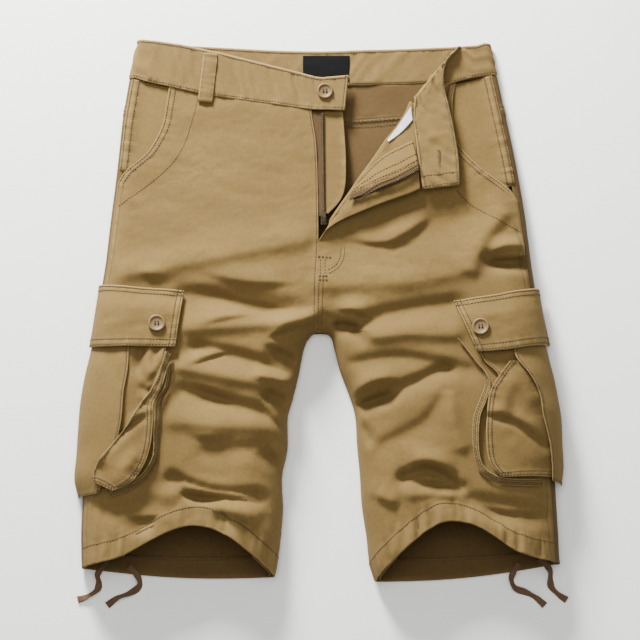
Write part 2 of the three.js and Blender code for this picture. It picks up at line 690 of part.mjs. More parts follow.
const frontLeftTimes = [
  ...steps(7),
  ...steps(18).slice(1).map((t) => 1 + t),
];
const frontLeft = [
  ...steps(9).map((t) => turnedRow(t)),
  ...frontLeftTimes.map((t) => leftSteps.map((loose, j) => {
    const u = lerp(tightSteps[j], loose, smooth(t / 0.6));
    return frontLeftPoint(t, u);
  })),
];
add('front_left', wall(frontLeft, clothWall), colours.khaki);

// ---- back panels and yokes ----

const backSteps = [0, 0.3, 0.6, 0.88, 1];

// From the inner edge along the flat back, then round the side fold to the seam
const backRow = (name, sideY, bx, by, bow, wallThick = clothWall) => {
  const sign = name === 'right' ? -1 : 1;
  const edge = side(name, sideY);
  const flat = edge - sign * underFold;
  const middle = wallThick / 2;
  const row = backSteps.map((u) => {
    const x = lerp(bx, flat, u);
    const y = lerp(by, sideY, u) - bow * Math.sin(Math.PI * u);
    return v3(x, y, lower(x, y, wallThick));
  });
  for (const angle of [60, 30, 0]) {
    const a = THREE.MathUtils.degToRad(angle);
    const x = edge - sign * underFold * (1 - Math.cos(a));
    const z = middle + (foldHeight - middle) * (1 - Math.sin(a));
    row.push(v3(x, sideY, z));
  }
  for (const part of [0.25, 1]) {
    const x = edge - sign * (seamInset[name] - 0.8) * part;
    row.push(v3(x, sideY, upper(x, sideY)));
  }
  return row;
};
const backGrid = (name, leg, far) => {
  const seam = name === 'right' ? -seamGap / 2 : seamGap / 2;
  const rows = [];
  for (const t of steps(8)) {
    const sideY = lerp(239, leg[0].side, t);
    const innerY = lerp(225, leg[0].y, Math.pow(t, 0.94));
    rows.push(backRow(name, sideY, seam, innerY, 0));
  }
  for (const t of steps(12).slice(1)) {
    const r = through(leg, t);
    const bx = name === 'left' ? Math.max(r.x, seam) : Math.min(r.x, seam);
    rows.push(backRow(name, r.side, bx, r.y, far * t * t));
  }
  return rows;
};
add('back_right', wall(backGrid('right', rightLeg, 5), clothWall), colours.khakiInside);
add('back_left', wall(backGrid('left', leftLeg, 5), clothWall), colours.khakiInside);

const yokeGrid = (name) => {
  const seam = name === 'right' ? -seamGap / 2 : seamGap / 2;
  const topSide = name === 'right' ? 272.6 : 276.5;
  return steps(3).map((t) => {
    const sideY = lerp(topSide, 239 + seamGap, t);
    const innerY = lerp(266.8, 225 + seamGap, t);
    return backRow(name, sideY, seam, innerY, 3.2 * (1 - t));
  });
};
add('back_yoke_right', wall(yokeGrid('right'), clothWall), colours.khakiInside);
add('back_yoke_left', wall(yokeGrid('left'), clothWall), colours.khakiInside);

// ---- waistband, carried round both side folds ----

const bandRow = (topX, topY, lowX, lowY, height) => [0, 0.5, 1].map((u) => {
  const x = lerp(topX, lowX, u);
  const y = lerp(topY, lowY, u);
  return v3(x, y, height(x, y));
});
const bandRows = (table, count) => steps(count).map((t) => {
  const r = through(table, t);
  return bandRow(r.topX, r.topY, r.lowX, r.lowY, (x, y) => upper(x, y) + r.lift);
});
const bandFoldRows = (name, topY, lowY) => {
  const sign = name === 'right' ? -1 : 1;
  const row = (inside, height) => {
    const topX = side(name, topY) - sign * inside;
    const lowX = side(name, lowY) - sign * inside;
    return bandRow(topX, topY, lowX, lowY, height);
  };
  const over = [6, 2, 0.5].map((d) => row(d, (x, y) => upper(x, y)));
  const under = [0, 25, 55, 90].map((angle) => {
    const a = THREE.MathUtils.degToRad(angle);
    const z = bandWall / 2 + (foldHeight - bandWall / 2) * (1 - Math.sin(a));
    return row(underFold * (1 - Math.cos(a)), () => z);
  });
  return [...over, ...under];
};
const band = [
  ...bandRows(bandFront, 20),
  ...bandFoldRows('right', 318, 274.6),
  ...bandBack.map((r) => bandRow(r.topX, r.topY, r.lowX, r.lowY, () => bandWall / 2)),
  ...bandFoldRows('left', 314, 278.4).reverse(),
  ...bandRows(bandTurned, 22),
];
add('waistband', wall(band, bandWall), colours.khakiBand);

const labelBox = new THREE.BoxGeometry(52, 31.5, labelWall);
labelBox.translate(7, 286, bandWall + seamGap + labelWall / 2);
add('label', labelBox, colours.label);

const loopRows = steps(5).map((t) => {
  const x = lerp(-122, -128, t);
  const y = lerp(301.6, 245.4, t);
  const end = smooth(Math.abs(t - 0.5) * 5 - 1.5);
  return [-7.5, 0, 7.5].map((d) => {
    const z = upper(x, y) + 0.6 + bandWall / 2 + loopWall / 2 + lerp(1.6, 0.5, end);
    return v3(x + d, y + d * -0.11, z);
  });
});
add('belt_loop_right', wall(loopRows, loopWall), colours.khakiBand);

// ---- between mouth and side seam, and inside the fly ----

const hipFacing = (name, table) => steps(9).map((t) => {
  const r = through(table, t);
  const sign = name === 'right' ? -1 : 1;
  const ax = side(name, r.outY) - sign * (seamInset[name] + 0.1);
  return [0, 0.15, 0.35, 0.65, 1].map((u) => {
    const x = lerp(ax, r.inX, u);
    const y = lerp(r.outY, r.inY, u);
    return v3(x, y, upper(x, y) - 2.3 * smooth(u / 0.35));
  });
});
add('hip_facing_right', wall(hipFacing('right', hipFacingRight), clothWall), colours.khaki);
add('hip_facing_left', wall(hipFacing('left', hipFacingLeft), clothWall), colours.khaki);

const turnedLifts = [];
for (const t of steps(60)) {
  const r = through(turnedFront, t);
  for (const u of steps(30)) {
    const x = lerp(r.creaseX, r.flyX, u);
    const y = lerp(r.creaseY, r.flyY, u);
    turnedLifts.push({ x, y, lift: lerp(rollRadius * 2, r.lift, smooth(u)) });
  }
}
const turnedHeight = (x, y) => {
  let best = turnedLifts[0];
  let near = Infinity;
  for (const s of turnedLifts) {
    const d = (s.x - x) ** 2 + (s.y - y) ** 2;
    if (d < near) {
      near = d;
      best = s;
    }
  }
  return upper(x, y) + best.lift;
};
const turnedStrip = (table, count, across, upLift, lowLift) => steps(count).map((t) => {
  const r = through(table, t);
  return steps(across).map((u) => {
    const x = lerp(r.upX, r.lowX, u);
    const y = lerp(r.upY, r.lowY, u);
    return v3(x, y, turnedHeight(x, y) + lerp(upLift, lowLift, u));
  });
});
add('fly_facing', wall(turnedStrip(flyFacingRows, 8, 3, 1.5, 6), 1), colours.khakiInside);
add('zip_tape_left', wall(turnedStrip(leftTapeRows, 8, 1, 6.1, 5.6), tapeWall), colours.zipTape);
add('pocket_bag_left', wall(turnedStrip(pocketBagRows, 6, 2, 1.5, 1.8), tapeWall), colours.pocketing, 0.85);

const shield = steps(8).map((t) => {
  const r = through(flyShieldRows, t);
  return [0, 0.34, 0.67, 1].map((u) => {
    const x = lerp(r.leftX, r.rightX, u);
    return v3(x, r.y, upper(x, r.y) - 3.2);
  });
});
add('fly_shield', wall(shield, 1.6), colours.khaki);
const rightTape = steps(8).map((t) => {
  const y = lerp(235.4, 113, t);
  return [seamAt(y) - 1, lerp(2, 5, t)].map((x) => v3(x, y, upper(x, y) - 1.5));
});
add('zip_tape_right', wall(rightTape, tapeWall), colours.zipTape);

// ---- flaps and cargo pockets ----

const flapPoint = (table, u, v) => {
  const r = through(table, u);
  const x = lerp(r.topX, r.lowX, v);
  const y = lerp(r.topY, r.lowY, v);
  const lift = lerp(3.7, r.lift, smooth(v / 0.4));
  return v3(x, y, shell(x, y, lift));
};
const flapSteps = [0, 0.06, 0.14, 0.26, 0.42, 0.6, 0.8, 1];
const flap = (table) => [0, 0.18, 0.4, 0.7, 1].map((v) => flapSteps.map((u) => flapPoint(table, u, v)));
add('flap_right', wall(flap(flapRight), flapWall), colours.khaki);
add('flap_left', wall(flap(flapLeft), flapWall), colours.khaki);

const sidePanel = (name, table) => steps(9).map((t) => {
  const r = through(table, t);
  const sign = name === 'right' ? -1 : 1;
  const outX = side(name, r.outY) + sign * r.outLift;
  return [0, 0.35, 0.6, 0.78, 0.9, 0.97, 1].map((u) => {
    const x = lerp(r.inX, outX, u);
    const y = lerp(r.inY, r.outY, u);
    return v3(x, y, shell(x, y, lerp(r.lift, r.outLift, u)));
  });
});
add('cargo_side_right', wall(sidePanel('right', sidePanelRight), pocketWall), colours.khaki);
add('cargo_side_left', wall(sidePanel('left', sidePanelLeft), pocketWall), colours.khaki);

const panel = (table, count, across) => steps(count).map((t) => {
  const r = through(table, t);
  return steps(across).map((u) => {
    const x = lerp(r.outX, r.inX, u);
    const y = lerp(r.outY, r.inY, u);
    return v3(x, y, shell(x, y, lerp(r.outLift, r.lift, u)));
  });
});
add('cargo_pleat_right', wall(panel(pleatRight, 6, 4), pocketWall), colours.khaki);
add('cargo_pleat_left', wall(panel(pleatLeft, 4, 4), pocketWall), colours.khaki);
add('cargo_face_right', wall(panel(facePanelRight, 10, 4), pocketWall), colours.khaki);
add('cargo_face_left', wall(panel(facePanelLeft, 10, 6), pocketWall), colours.khaki);

const gusset = (table, count, centreX, centreY, deep) => steps(count).map((t) => {
  const r = through(table, t);
  const reach = Math.hypot(centreX - r.x, centreY - r.y);
  const dx = (centreX - r.x) / reach;
  const dy = (centreY - r.y) / reach;
  return [0, 0.5, 1].map((u) => {
    const x = r.x + dx * deep * u;
    const y = r.y + dy * deep * u;
    return v3(x, y, shell(x, y, lerp(2.3, r.lift, u)));
  });
});
add('cargo_gusset_right', wall(gusset(gussetRight, 14, -222, -112, 7), pocketWall), colours.khaki);
add('cargo_gusset_left', wall(gusset(gussetLeft, 18, 222, -112, 7), pocketWall), colours.khaki);

// ---- hem casings, turned up inside each leg ----

const casing = (name, front, leg, over) => [1, 17 / 18, 16.3 / 18].map((t) => {
  const r = through(leg, t);
  const clear = name === 'right' ? -1.6 : 1.6;
  const loop = over.map((u) => front(t, u).add(v3(u > 0.9 ? clear : 0, 0, 0)));
  const back = backRow(name, r.side, r.x, r.y, 5 * t * t).slice(0, -3);
  return [...loop, ...back.reverse().slice(0, -1)];
});
const inward = (grid, distance) => {
  const normals = gridNormals(grid, true);
  const sign = normals[0][5].z > 0 ? -distance : distance;
  return grid.map((row, i) => row.map((p, j) => p.clone().addScaledVector(normals[i][j], sign)));
};
const overRight = widthSteps.slice(1).reverse();
const overLeft = leftSteps.slice(1).reverse();
const casingRight = casing('right', (t, u) => frontRightPoint(2 + t, u), rightLeg, overRight);
const casingLeft = casing('left', (t, u) => frontLeftPoint(1 + t, u), leftLeg, overLeft);
add('hem_casing_right', wall(inward(casingRight, 2.2), 1, true), colours.khakiInside);
add('hem_casing_left', wall(inward(casingLeft, 2.2), 1, true), colours.khakiInside);

// ---- drawcords ----

for (const [name, route] of Object.entries(cordRoutes)) {
  const rows = steps(12).map((t) => {
    const p = through(route, t);
    const q = through(route, Math.min(t + 0.02, 1));
    const o = through(route, Math.max(t - 0.02, 0));
    const along = v3(q.x - o.x, q.y - o.y, 0).normalize();
    return [-0.5, 0.5].map((s) => v3(p.x - along.y * s * cordWide, p.y + along.x * s * cordWide, p.z));
  });
  add(name, wall(rows, cordWall), colours.cord, 0.85);
}

// ---- buttons and zip metalwork ----

const wasm = await Module();
wasm.setup();

const toSolid = (geometry) => {
  geometry.deleteAttribute('normal');
  geometry.deleteAttribute('uv');
  const merged = mergeVertices(geometry, 1e-4);
  const vertProperties = new Float32Array(merged.attributes.position.array);
  const triVerts = new Uint32Array(merged.index.array);
  return new wasm.Manifold(new wasm.Mesh({ numProp: 3, vertProperties, triVerts }));
};
const fromSolid = (solid) => {
  const mesh = solid.getMesh();
  const geometry = new THREE.BufferGeometry();
  const spots = Array.from(mesh.vertProperties);
  geometry.setAttribute('position', new THREE.Float32BufferAttribute(spots, 3));
  geometry.setIndex(Array.from(mesh.triVerts));
  return geometry.toNonIndexed();
};
const block = (wide, long, high, x, y, z) => {
  const box = new THREE.BoxGeometry(wide, long, high);
  return toSolid(box.translate(x, y, z));
};
// A round standing on z, narrower or wider at its top
const round = (tall, lowRadius, topRadius, sides, x, y, z) => {
  const upright = new THREE.CylinderGeometry(topRadius, lowRadius, tall, sides);
  return toSolid(upright.rotateX(Math.PI / 2).translate(x, y, z + tall / 2));
};

const button = (name, across, centre, normal) => {
  const sides = 16;
  const body = round(2.4, across / 2 - 0.5, across / 2, sides, 0, 0, 0);
  const dish = round(2, across / 2 - 3, across / 2 - 2.2, sides, 0, 0, 1.5);
  let solid = body.subtract(dish);
  for (const [x, y] of [[1.7, 1.7], [-1.7, 1.7], [1.7, -1.7], [-1.7, -1.7]]) {
    solid = solid.subtract(round(4, 0.8, 0.8, 6, x, y, -1));
  }
  const geometry = fromSolid(solid);
  const turn = new THREE.Quaternion().setFromUnitVectors(v3(0, 0, 1), normal);
  geometry.applyQuaternion(turn);
  geometry.translate(centre.x, centre.y, centre.z);
  add(name, geometry, colours.button, 0.45);
};
const flapButton = (name, table, u, v) => {
  const p = flapPoint(table, u, v);
  const du = flapPoint(table, u + 0.08, v).sub(flapPoint(table, u - 0.08, v));
  const dv = flapPoint(table, u, v + 0.15).sub(flapPoint(table, u, v - 0.15));
  const normal = du.cross(dv).normalize();
  if (normal.z < 0) normal.negate();
  button(name, pocketButton, p.addScaledVector(normal, flapWall / 2 + 0.9), normal);
};
button('waist_button', waistButton, v3(5.5, 258, upper(5.5, 258) + bandWall / 2 + 2), v3(0, 0, 1));
flapButton('flap_button_right', flapRight, 0.8, 0.62);
flapButton('flap_button_left', flapLeft, 0.84, 0.56);

const zipZ = upper(zipX, zipY) + 0.8;
const zipTop = zipZ + zipThick / 2;
const hingeY = zipY - 0.3;
const slider = block(zipWidth, zipLength, zipThick, zipX, zipY, zipZ)
  .add(block(2.2, 5, 2.7, zipX, zipY, zipTop + 1.1))
  .subtract(block(4, 3.2, 2, zipX, zipY, zipTop + 1));
add('zip_slider', fromSolid(slider), colours.zip, 0.4, 0.7);
const pull = block(pullWide, pullLong, pullThick, zipX, hingeY - 0.6 + pullLong / 2, zipTop + 1)
  .subtract(block(3.2, 3.3, 3, zipX, hingeY + 2.25, zipTop + 1));
add('zip_pull_tab', fromSolid(pull), colours.zip, 0.4, 0.7);

// The garment without its cords is centred over the origin and lies on z = 0
const extent = new THREE.Box3();
for (const mesh of group.children) {
  if (!mesh.name.startsWith('drawcord')) extent.expandByObject(mesh);
}
const middle = extent.getCenter(v3(0, 0, 0));
for (const mesh of group.children) mesh.geometry.translate(-middle.x, -middle.y, -extent.min.z);

export default group;
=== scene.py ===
import math

import bmesh
import bpy
import numpy as np
from mathutils import Matrix, Vector


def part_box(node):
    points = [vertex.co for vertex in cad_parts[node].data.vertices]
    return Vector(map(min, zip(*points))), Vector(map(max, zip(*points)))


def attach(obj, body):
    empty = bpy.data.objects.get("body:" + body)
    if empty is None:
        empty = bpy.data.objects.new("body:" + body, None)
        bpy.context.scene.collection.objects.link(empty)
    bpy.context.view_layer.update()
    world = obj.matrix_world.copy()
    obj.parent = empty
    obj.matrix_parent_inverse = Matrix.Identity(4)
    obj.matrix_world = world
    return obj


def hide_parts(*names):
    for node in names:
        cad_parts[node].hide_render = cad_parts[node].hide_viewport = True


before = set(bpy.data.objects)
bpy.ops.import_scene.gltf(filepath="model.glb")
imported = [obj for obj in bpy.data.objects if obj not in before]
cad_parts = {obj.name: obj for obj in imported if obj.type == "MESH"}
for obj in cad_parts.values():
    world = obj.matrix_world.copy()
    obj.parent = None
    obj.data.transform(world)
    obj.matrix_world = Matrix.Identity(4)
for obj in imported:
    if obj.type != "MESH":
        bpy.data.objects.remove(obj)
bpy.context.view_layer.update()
print("frame loaded,", len(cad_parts), "nodes")

# Cloth is laid out in millimetres on the table, then moved to the frame's own place.
# "right" and "left" are the wearer's. X runs to the wearer's left, Y to the waist.
labelLow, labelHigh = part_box("label")
layoutShift = np.array([(labelLow.x + labelHigh.x) * 500 - 7, (labelLow.y + labelHigh.y) * 500 - 286, 0])


def toFrame(points):
    return (np.asarray(points, float) + layoutShift) / 1000


# camera
cameraLook = {"elevation": 78, "distance": 4.2, "lens": 214}


def addCamera(look):
    data = bpy.data.cameras.new("camera")
    data.lens, data.sensor_width = look["lens"], 36
    data.clip_start, data.clip_end = 0.05, 20
    camera = bpy.data.objects.new("camera", data)
    bpy.context.scene.collection.objects.link(camera)
    tilt = math.radians(look["elevation"])
    back = Vector((0, -math.cos(tilt), math.sin(tilt)))
    aim = Vector(layoutShift / 1000)
    camera.location = aim + back * look["distance"]
    camera.rotation_mode = "QUATERNION"
    camera.rotation_quaternion = (-back).to_track_quat("-Z", "Y")
    bpy.context.scene.camera = camera


addCamera(cameraLook)

puffHeight = [  # y, high
    (-300, 45), (-240, 44), (-180, 42), (-100, 39), (-20, 32), (60, 25), (130, 18), (190, 13),
    (250, 10.5), (330, 9),
]

sideEdge = [  # y, right, left
    (330, -201.5, 187), (290, -210, 194.5), (264, -214, 200), (224, -220, 208), (184, -223.5, 216),
    (155, -226.5, 221), (116, -231, 227), (62, -236.5, 233), (20, -243, 239), (-30, -249, 246),
    (-100, -254, 252), (-180, -258, 256), (-240, -260, 259), (-300, -258, 261),
]

frontSeam = [  # y, x
    (240, -10), (206, -5), (170, -3), (110, -2), (76, -2), (42, -4), (9, -4.75), (-20, -4.75),
]

rightLeg = [  # side, x, y
    (-34, -5.5, -16.1), (-42, -9, -17.8), (-51, -13, -22.5), (-62, -18, -33), (-82, -23.5, -60),
    (-102, -29.5, -87), (-124, -36, -112), (-152, -36, -144), (-182, -42, -176), (-211, -41, -208),
    (-240, -43, -241), (-262, -46, -267), (-277, -50, -286),
]

leftLeg = [  # side, x, y
    (-34, -4, -16.1), (-42, 6, -16.4), (-51, 12.5, -21), (-62, 16, -33), (-82, 22.5, -59),
    (-102, 32.5, -86), (-124, 39, -110), (-152, 41, -142), (-182, 44, -175), (-211, 46, -208),
    (-240, 51, -243), (-259, 54, -270), (-272, 61, -291),
]

hemArchRight = [  # across, rise
    (0, 0), (0.18, 8), (0.32, 24), (0.44, 38), (0.54, 45.5), (0.62, 46), (0.7, 42), (0.8, 31),
    (0.92, 13), (1, 0),
]

hemArchLeft = [  # across, rise
    (0, 0), (0.1, 4), (0.22, 13), (0.32, 28), (0.42, 42), (0.52, 50), (0.62, 52), (0.72, 44),
    (0.82, 30), (0.93, 13), (1, 0),
]

folds = [  # x1, y1, x2, y2, x3, y3, high, wide
    (-217, 44, -141, 60, -22, 84, 4, 17), (-150, 24, -97, 21, -22, 6, -5, 15),
    (-146, -17, -80, -13, -20, -6, 4, 12), (-135, -34, -80, -48, -40, -64, -6, 11),
    (-152, -62, -90, -74, -34, -84, 4, 10), (-150, -84, -100, -98, -48, -112, -6, 12),
    (-158, -122, -100, -126, -46, -128, 4, 14), (-122, -152, -90, -150, -58, -146, -3, 11),
    (-160, -182, -120, -197, -66, -201, -8, 10), (-162, -206, -120, -214, -70, -224, 3, 12),
    (-240, -212, -215, -214, -190, -208, -4, 12), (36, 92, 97, 112, 140, 112, -4, 26),
    (12, 33, 87, 36, 150, 48, 4, 18), (200, 112, 180, 84, 168, 50, 4, 12),
    (184, 66, 204, 62, 222, 62, -4, 9), (50, -3, 97, 8, 150, 16, -5, 13),
    (6, -3, 30, -10, 44, -24, -4, 9), (60, -26, 100, -22, 146, -24, 4, 13),
    (34, -54, 90, -48, 160, -62, -4, 11), (42, -94, 90, -80, 136, -58, -6, 9),
    (141, -94, 147, -126, 154, -150, 4, 10), (66, -146, 112, -122, 138, -88, -3, 12),
    (92, -180, 122, -175, 150, -192, -8, 9), (164, -206, 204, -212, 240, -218, -5, 12),
    (100, -203, 122, -200, 142, -203, 3, 9),
]

mouthRight = [  # x, y, seamX, seamY
    (-168, 263.6, -10.2, 237.6), (-171, 243, -8, 222), (-174.5, 222, -5.6, 207),
    (-181, 205, -4, 190), (-192, 186.5, -3.2, 173), (-205, 174.5, -2.8, 157),
    (-217, 164, -2.4, 141), (-224, 152, -2.1, 126),
]

turnedFront = [  # x, y, creaseX, creaseY, flyX, flyY, lift
    (151, 268.6, 100, 245.4, 110.4, 142.5, 11), (147.5, 247, 94, 231, 99, 137, 12),
    (148, 222, 84, 215, 84, 131.5, 12.5), (151, 203, 72, 200, 68, 125.5, 12),
    (160, 188, 59, 180, 52, 119, 11), (171, 176, 45, 160, 37.5, 113, 10),
    (184, 164, 31.5, 139, 24, 107, 9), (199, 153, 20, 122, 14, 101, 7.5),
    (211, 143, 11, 108, 6.5, 95, 6.5),
]

bandFront = [  # topX, topY, lowX, lowY, lift
    (31, 276, 27, 236.6, 1.4), (15, 274.6, 8, 237.4, 1.4), (-2, 274, -10, 238, 0.8),
    (-25, 280, -36, 241.6, 0.6), (-48, 286, -63, 245.4, 0.6), (-79, 294, -90, 249.2, 0.6),
    (-110, 302, -117, 253.4, 0.6), (-129, 306, -138, 257.6, 0.6), (-150, 311, -158, 262.2, 0.6),
    (-170, 314.4, -180, 267.2, 0.4), (-184, 316.4, -195, 270.6, 0.2),
]

bandBack = [  # topX, topY, lowX, lowY
    (-150, 313, -150, 271), (-101, 310.4, -101, 269.6), (-50, 307.6, -50, 268.4),
    (0, 306.6, 0, 268), (48, 308, 48, 268.4), (96, 309.4, 98, 269.8), (145, 311.4, 148, 273),
]

bandTurned = [  # topX, topY, lowX, lowY, lift
    (176, 311, 170, 275, 0.4), (165, 310.4, 138, 265.4, 0.4), (158, 309.6, 115, 254, 0.6),
    (154.4, 309.4, 106, 250.4, 4.4), (151.4, 304.6, 106, 247.6, 8), (143.4, 296, 105.4, 240, 8.6),
    (138, 279, 104.6, 229, 9), (138, 260, 105.4, 214, 9.6), (144, 232, 107.4, 196, 10.4),
    (149, 204, 109.6, 176, 11), (152.6, 176, 112, 157, 11.4), (153.4, 147.5, 114.6, 142.6, 11.4),
]

hipFacingRight = [  # outY, inX, inY
    (272.4, -158, 261), (252, -161, 243), (232, -164, 221), (214, -170, 203), (197, -181, 183),
    (183, -193, 171), (172, -205, 160),
]

hipFacingLeft = [  # outY, inX, inY
    (276.4, 143, 264.6), (252, 138, 246), (228, 139, 221), (208, 143, 199), (190, 153, 181),
    (176, 166, 168), (164, 182, 156), (154, 197, 146),
]

pocketBagRows = [  # upX, upY, lowX, lowY
    (101, 238, 102.6, 223), (93.5, 226, 97, 216), (85, 213, 88, 207), (75, 200, 76, 198),
]

flyShieldRows = [  # leftX, rightX, y
    (-7.5, 25, 235.6), (-4.5, 27, 208), (-3.4, 28.4, 180), (-2.6, 27.6, 150), (-2.2, 22, 132),
    (-1.8, 9, 117),
]

flyFacingRows = [  # upX, upY, lowX, lowY
    (102.6, 198, 108.6, 169), (85, 190, 87, 156.4), (69, 180, 65, 147.4), (55, 166, 48, 140.4),
    (41, 148, 34, 136.4),
]

leftTapeRows = [  # upX, upY, lowX, lowY
    (109, 168, 108.4, 163.4), (87.4, 155.6, 86.4, 150.6), (65.6, 146.6, 64.4, 141.4),
    (48.4, 139.6, 47.6, 134.2), (34, 135.4, 33, 130),
]

flapRight = [  # topX, topY, lowX, lowY, lift
    (-242.5, 36, -252.5, -33, 4), (-233, 34, -243, -35.4, 7), (-216, 31.4, -226, -37, 9),
    (-197, 29.2, -206, -37.6, 10), (-173, 27.6, -182, -38, 10), (-150, 26.6, -158.5, -38.4, 8),
]

flapLeft = [  # topX, topY, lowX, lowY, lift
    (240.5, 32, 252.5, -30, 4), (232, 29.4, 243, -33, 7), (214, 25.6, 226, -37, 9),
    (194, 21.4, 207, -41, 10), (170, 17.8, 188, -43, 10), (147.5, 15, 172, -43.4, 7),
]

sidePanelRight = [  # outY, outLift, inX, inY, lift
    (-28, 1.6, -209, -30, 5.4), (-44, 3.4, -209, -46, 6.4), (-64, 6.5, -210, -66, 8),
    (-92, 9, -214, -92, 8.5), (-122, 9.5, -216, -121, 8.5), (-152, 9.5, -222, -149, 8),
    (-180, 10, -232, -179, 7), (-200, 4, -240, -200, 4),
]

sidePanelLeft = [  # outY, outLift, inX, inY, lift
    (-24, 1.6, 212, -30, 5.4), (-46, 4.4, 214, -50, 8.4), (-70, 8, 229, -70, 11.4),
    (-92, 10, 239, -90, 11.4), (-114, 11.6, 242.5, -113, 11.4), (-140, 11, 249, -140, 11.2),
    (-166, 10.6, 252, -165, 10.8), (-186, 7, 252, -185, 8.4),
]

pleatRight = [  # outX, outY, inX, inY, outLift, lift
    (-221, -29, -167, -30, 2.4, 4.4), (-221, -50, -170, -50, 2.8, 7),
    (-222, -68, -174, -69, 2.8, 8), (-225, -90, -182, -88, 2.8, 7),
    (-227, -112, -194, -108, 2.8, 5), (-229, -134, -208, -130, 2.8, 4),
]

pleatLeft = [  # outX, outY, inX, inY, outLift, lift
    (226, -28, 172, -34, 2.4, 2.4), (232, -48, 180, -54, 2.6, 3.4), (238, -72, 194, -69, 2.6, 4.6),
    (240, -96, 200, -92, 2.6, 3),
]

facePanelRight = [  # outX, outY, inX, inY, outLift, lift
    (-168, -46, -163, -49, 12.5, 10), (-181, -83, -172, -84, 12.5, 11),
    (-194, -102, -181, -104, 13, 12), (-206, -122, -181.5, -124, 13, 12),
    (-221, -142, -183.5, -148, 13, 12), (-236, -161, -190, -170, 12.4, 11.4),
    (-245, -177, -204, -190, 11.6, 10.6), (-243, -189, -224, -199, 10, 9),
]

facePanelLeft = [  # outX, outY, inX, inY, outLift, lift
    (222, -54, 207, -55, 6.2, 7.4), (237, -73, 193, -75, 7, 8), (246, -93, 184.5, -92, 7.4, 8),
    (250, -113, 181.5, -116, 7.4, 8), (255, -137, 180.5, -142, 7.4, 8),
    (257, -161, 184, -168, 7.4, 7.6), (255, -180, 197, -184, 6, 7),
]

gussetRight = [  # x, y, lift
    (-160, -54, 6), (-163.5, -80, 8.6), (-171, -97, 9.4), (-173, -118, 9.6), (-175, -142, 9.6),
    (-177, -166, 9), (-189, -186, 7.6), (-208, -198, 6.4), (-226, -203.6, 4.4),
]

gussetLeft = [  # x, y, lift
    (151, -28, 5), (164, -46, 5.6), (177, -63, 5.8), (180, -80, 5.8), (174, -98, 5.8),
    (167.5, -116, 5.8), (166, -136, 5.8), (167, -156, 5.8), (173, -177, 5.4), (192, -190, 5),
    (218, -192.6, 4.4), (240, -191.4, 3.6),
]

cordRoutes = {  # x, y, z from the casing to the bare end
    "drawcord_right_outer": [
        (-232, -269, 4.8), (-238, -277, 4.6), (-242, -284.5, 3.4), (-240.5, -293, 1),
        (-243, -301, 1), (-254, -308, 1), (-263, -311, 1),
    ],
    "drawcord_right_inner": [
        (-208, -275, 4.8), (-201, -282, 4.6), (-196.5, -289.5, 2.8), (-197, -297, 1),
        (-207, -304, 1), (-220, -309, 1), (-231, -317, 1),
    ],
    "drawcord_left_inner": [
        (217, -272, 4.8), (211, -280, 4.6), (208, -288.5, 2.8), (212, -298, 1),
        (224, -303, 1), (235, -309, 1), (244, -317, 1),
    ],
    "drawcord_left_outer": [
        (239, -266, 4.8), (246, -273, 4.6), (250.5, -280.5, 3.4), (250.5, -290, 1),
        (252, -298, 1), (260, -306, 1), (268, -311, 1),
    ],
}

creases = [  # x1, y1, x2, y2, x3, y3, high, wide, and how full it is at each end
    (-12, -7, -36, -14, -60, -27, 4.5, 9, 1, 0), (-20, -50, -42, -42, -64, -36, -5.6, 12, 1, 0),
    (-30, -78, -52, -74, -80, -70, 3.5, 10, 1, 0), (-36, -92, -50, -88, -68, -86, -5.6, 11, 1, 0),
    (-40, -120, -54, -108, -66, -90, 3, 9, 1, 0), (-42, -168, -52, -158, -66, -146, -4, 9, 1, 0),
    (-168, -172, -140, -195, -66, -206, 4, 8, 0, 0.3), (-176, -186, -145, -202, -100, -208, -4.4, 8, 0, 0),
    (-150, -60, -120, -46, -92, -38, 2.5, 8, 0, 0), (-148, -78, -118, -88, -84, -100, -2.5, 8, 0, 0),
    (-140, -12, -100, -2, -60, 2, 2, 14, 0, 0), (-150, -130, -122, -138, -90, -134, 2, 12, 0, 0),
    (222, 66, 200, 64, 178, 60, -5, 8, 1, 0), (224, 78, 202, 76, 182, 70, 3.5, 8, 1, 0),
    (20, -8, 34, -10, 50, -16, -4.6, 8, 1, 0), (14, 8, 40, 4, 66, -4, 3, 9, 0, 0),
    (36, -88, 60, -76, 90, -72, 3, 8, 1, 0), (38, -100, 62, -92, 92, -86, -5.4, 9, 1, 0),
    (44, -118, 52, -134, 56, -152, -3, 8, 0.3, 0), (90, -168, 116, -166, 146, -176, 4, 9, 0, 0.2),
    (94, -186, 120, -188, 148, -192, -4.4, 9, 0, 0), (150, -176, 156, -190, 164, -208, -3, 6, 0.3, 0),
    (132, 130, 100, 98, 60, 78, 3, 15, 0, 0), (20, 96, 60, 84, 110, 90, 2, 12, 0, 0),
    (-30, 38, -84, 38, -140, 54, 2.2, 15, 0.3, 0), (-22, 4, -86, 15, -142, 33, -2.4, 12, 0.2, 0),
    (-200, 52, -180, 40, -160, 28, 2, 10, 0, 0),
    (-214, -222, -196, -230, -170, -228, -3.5, 10, 0, 0), (-120, -218, -90, -226, -60, -238, 2.5, 10, 0, 0),
    (170, -214, 200, -222, 240, -224, -3, 9, 0, 0.5), (60, -200, 76, -210, 90, -212, 2.5, 9, 0.5, 0),
]

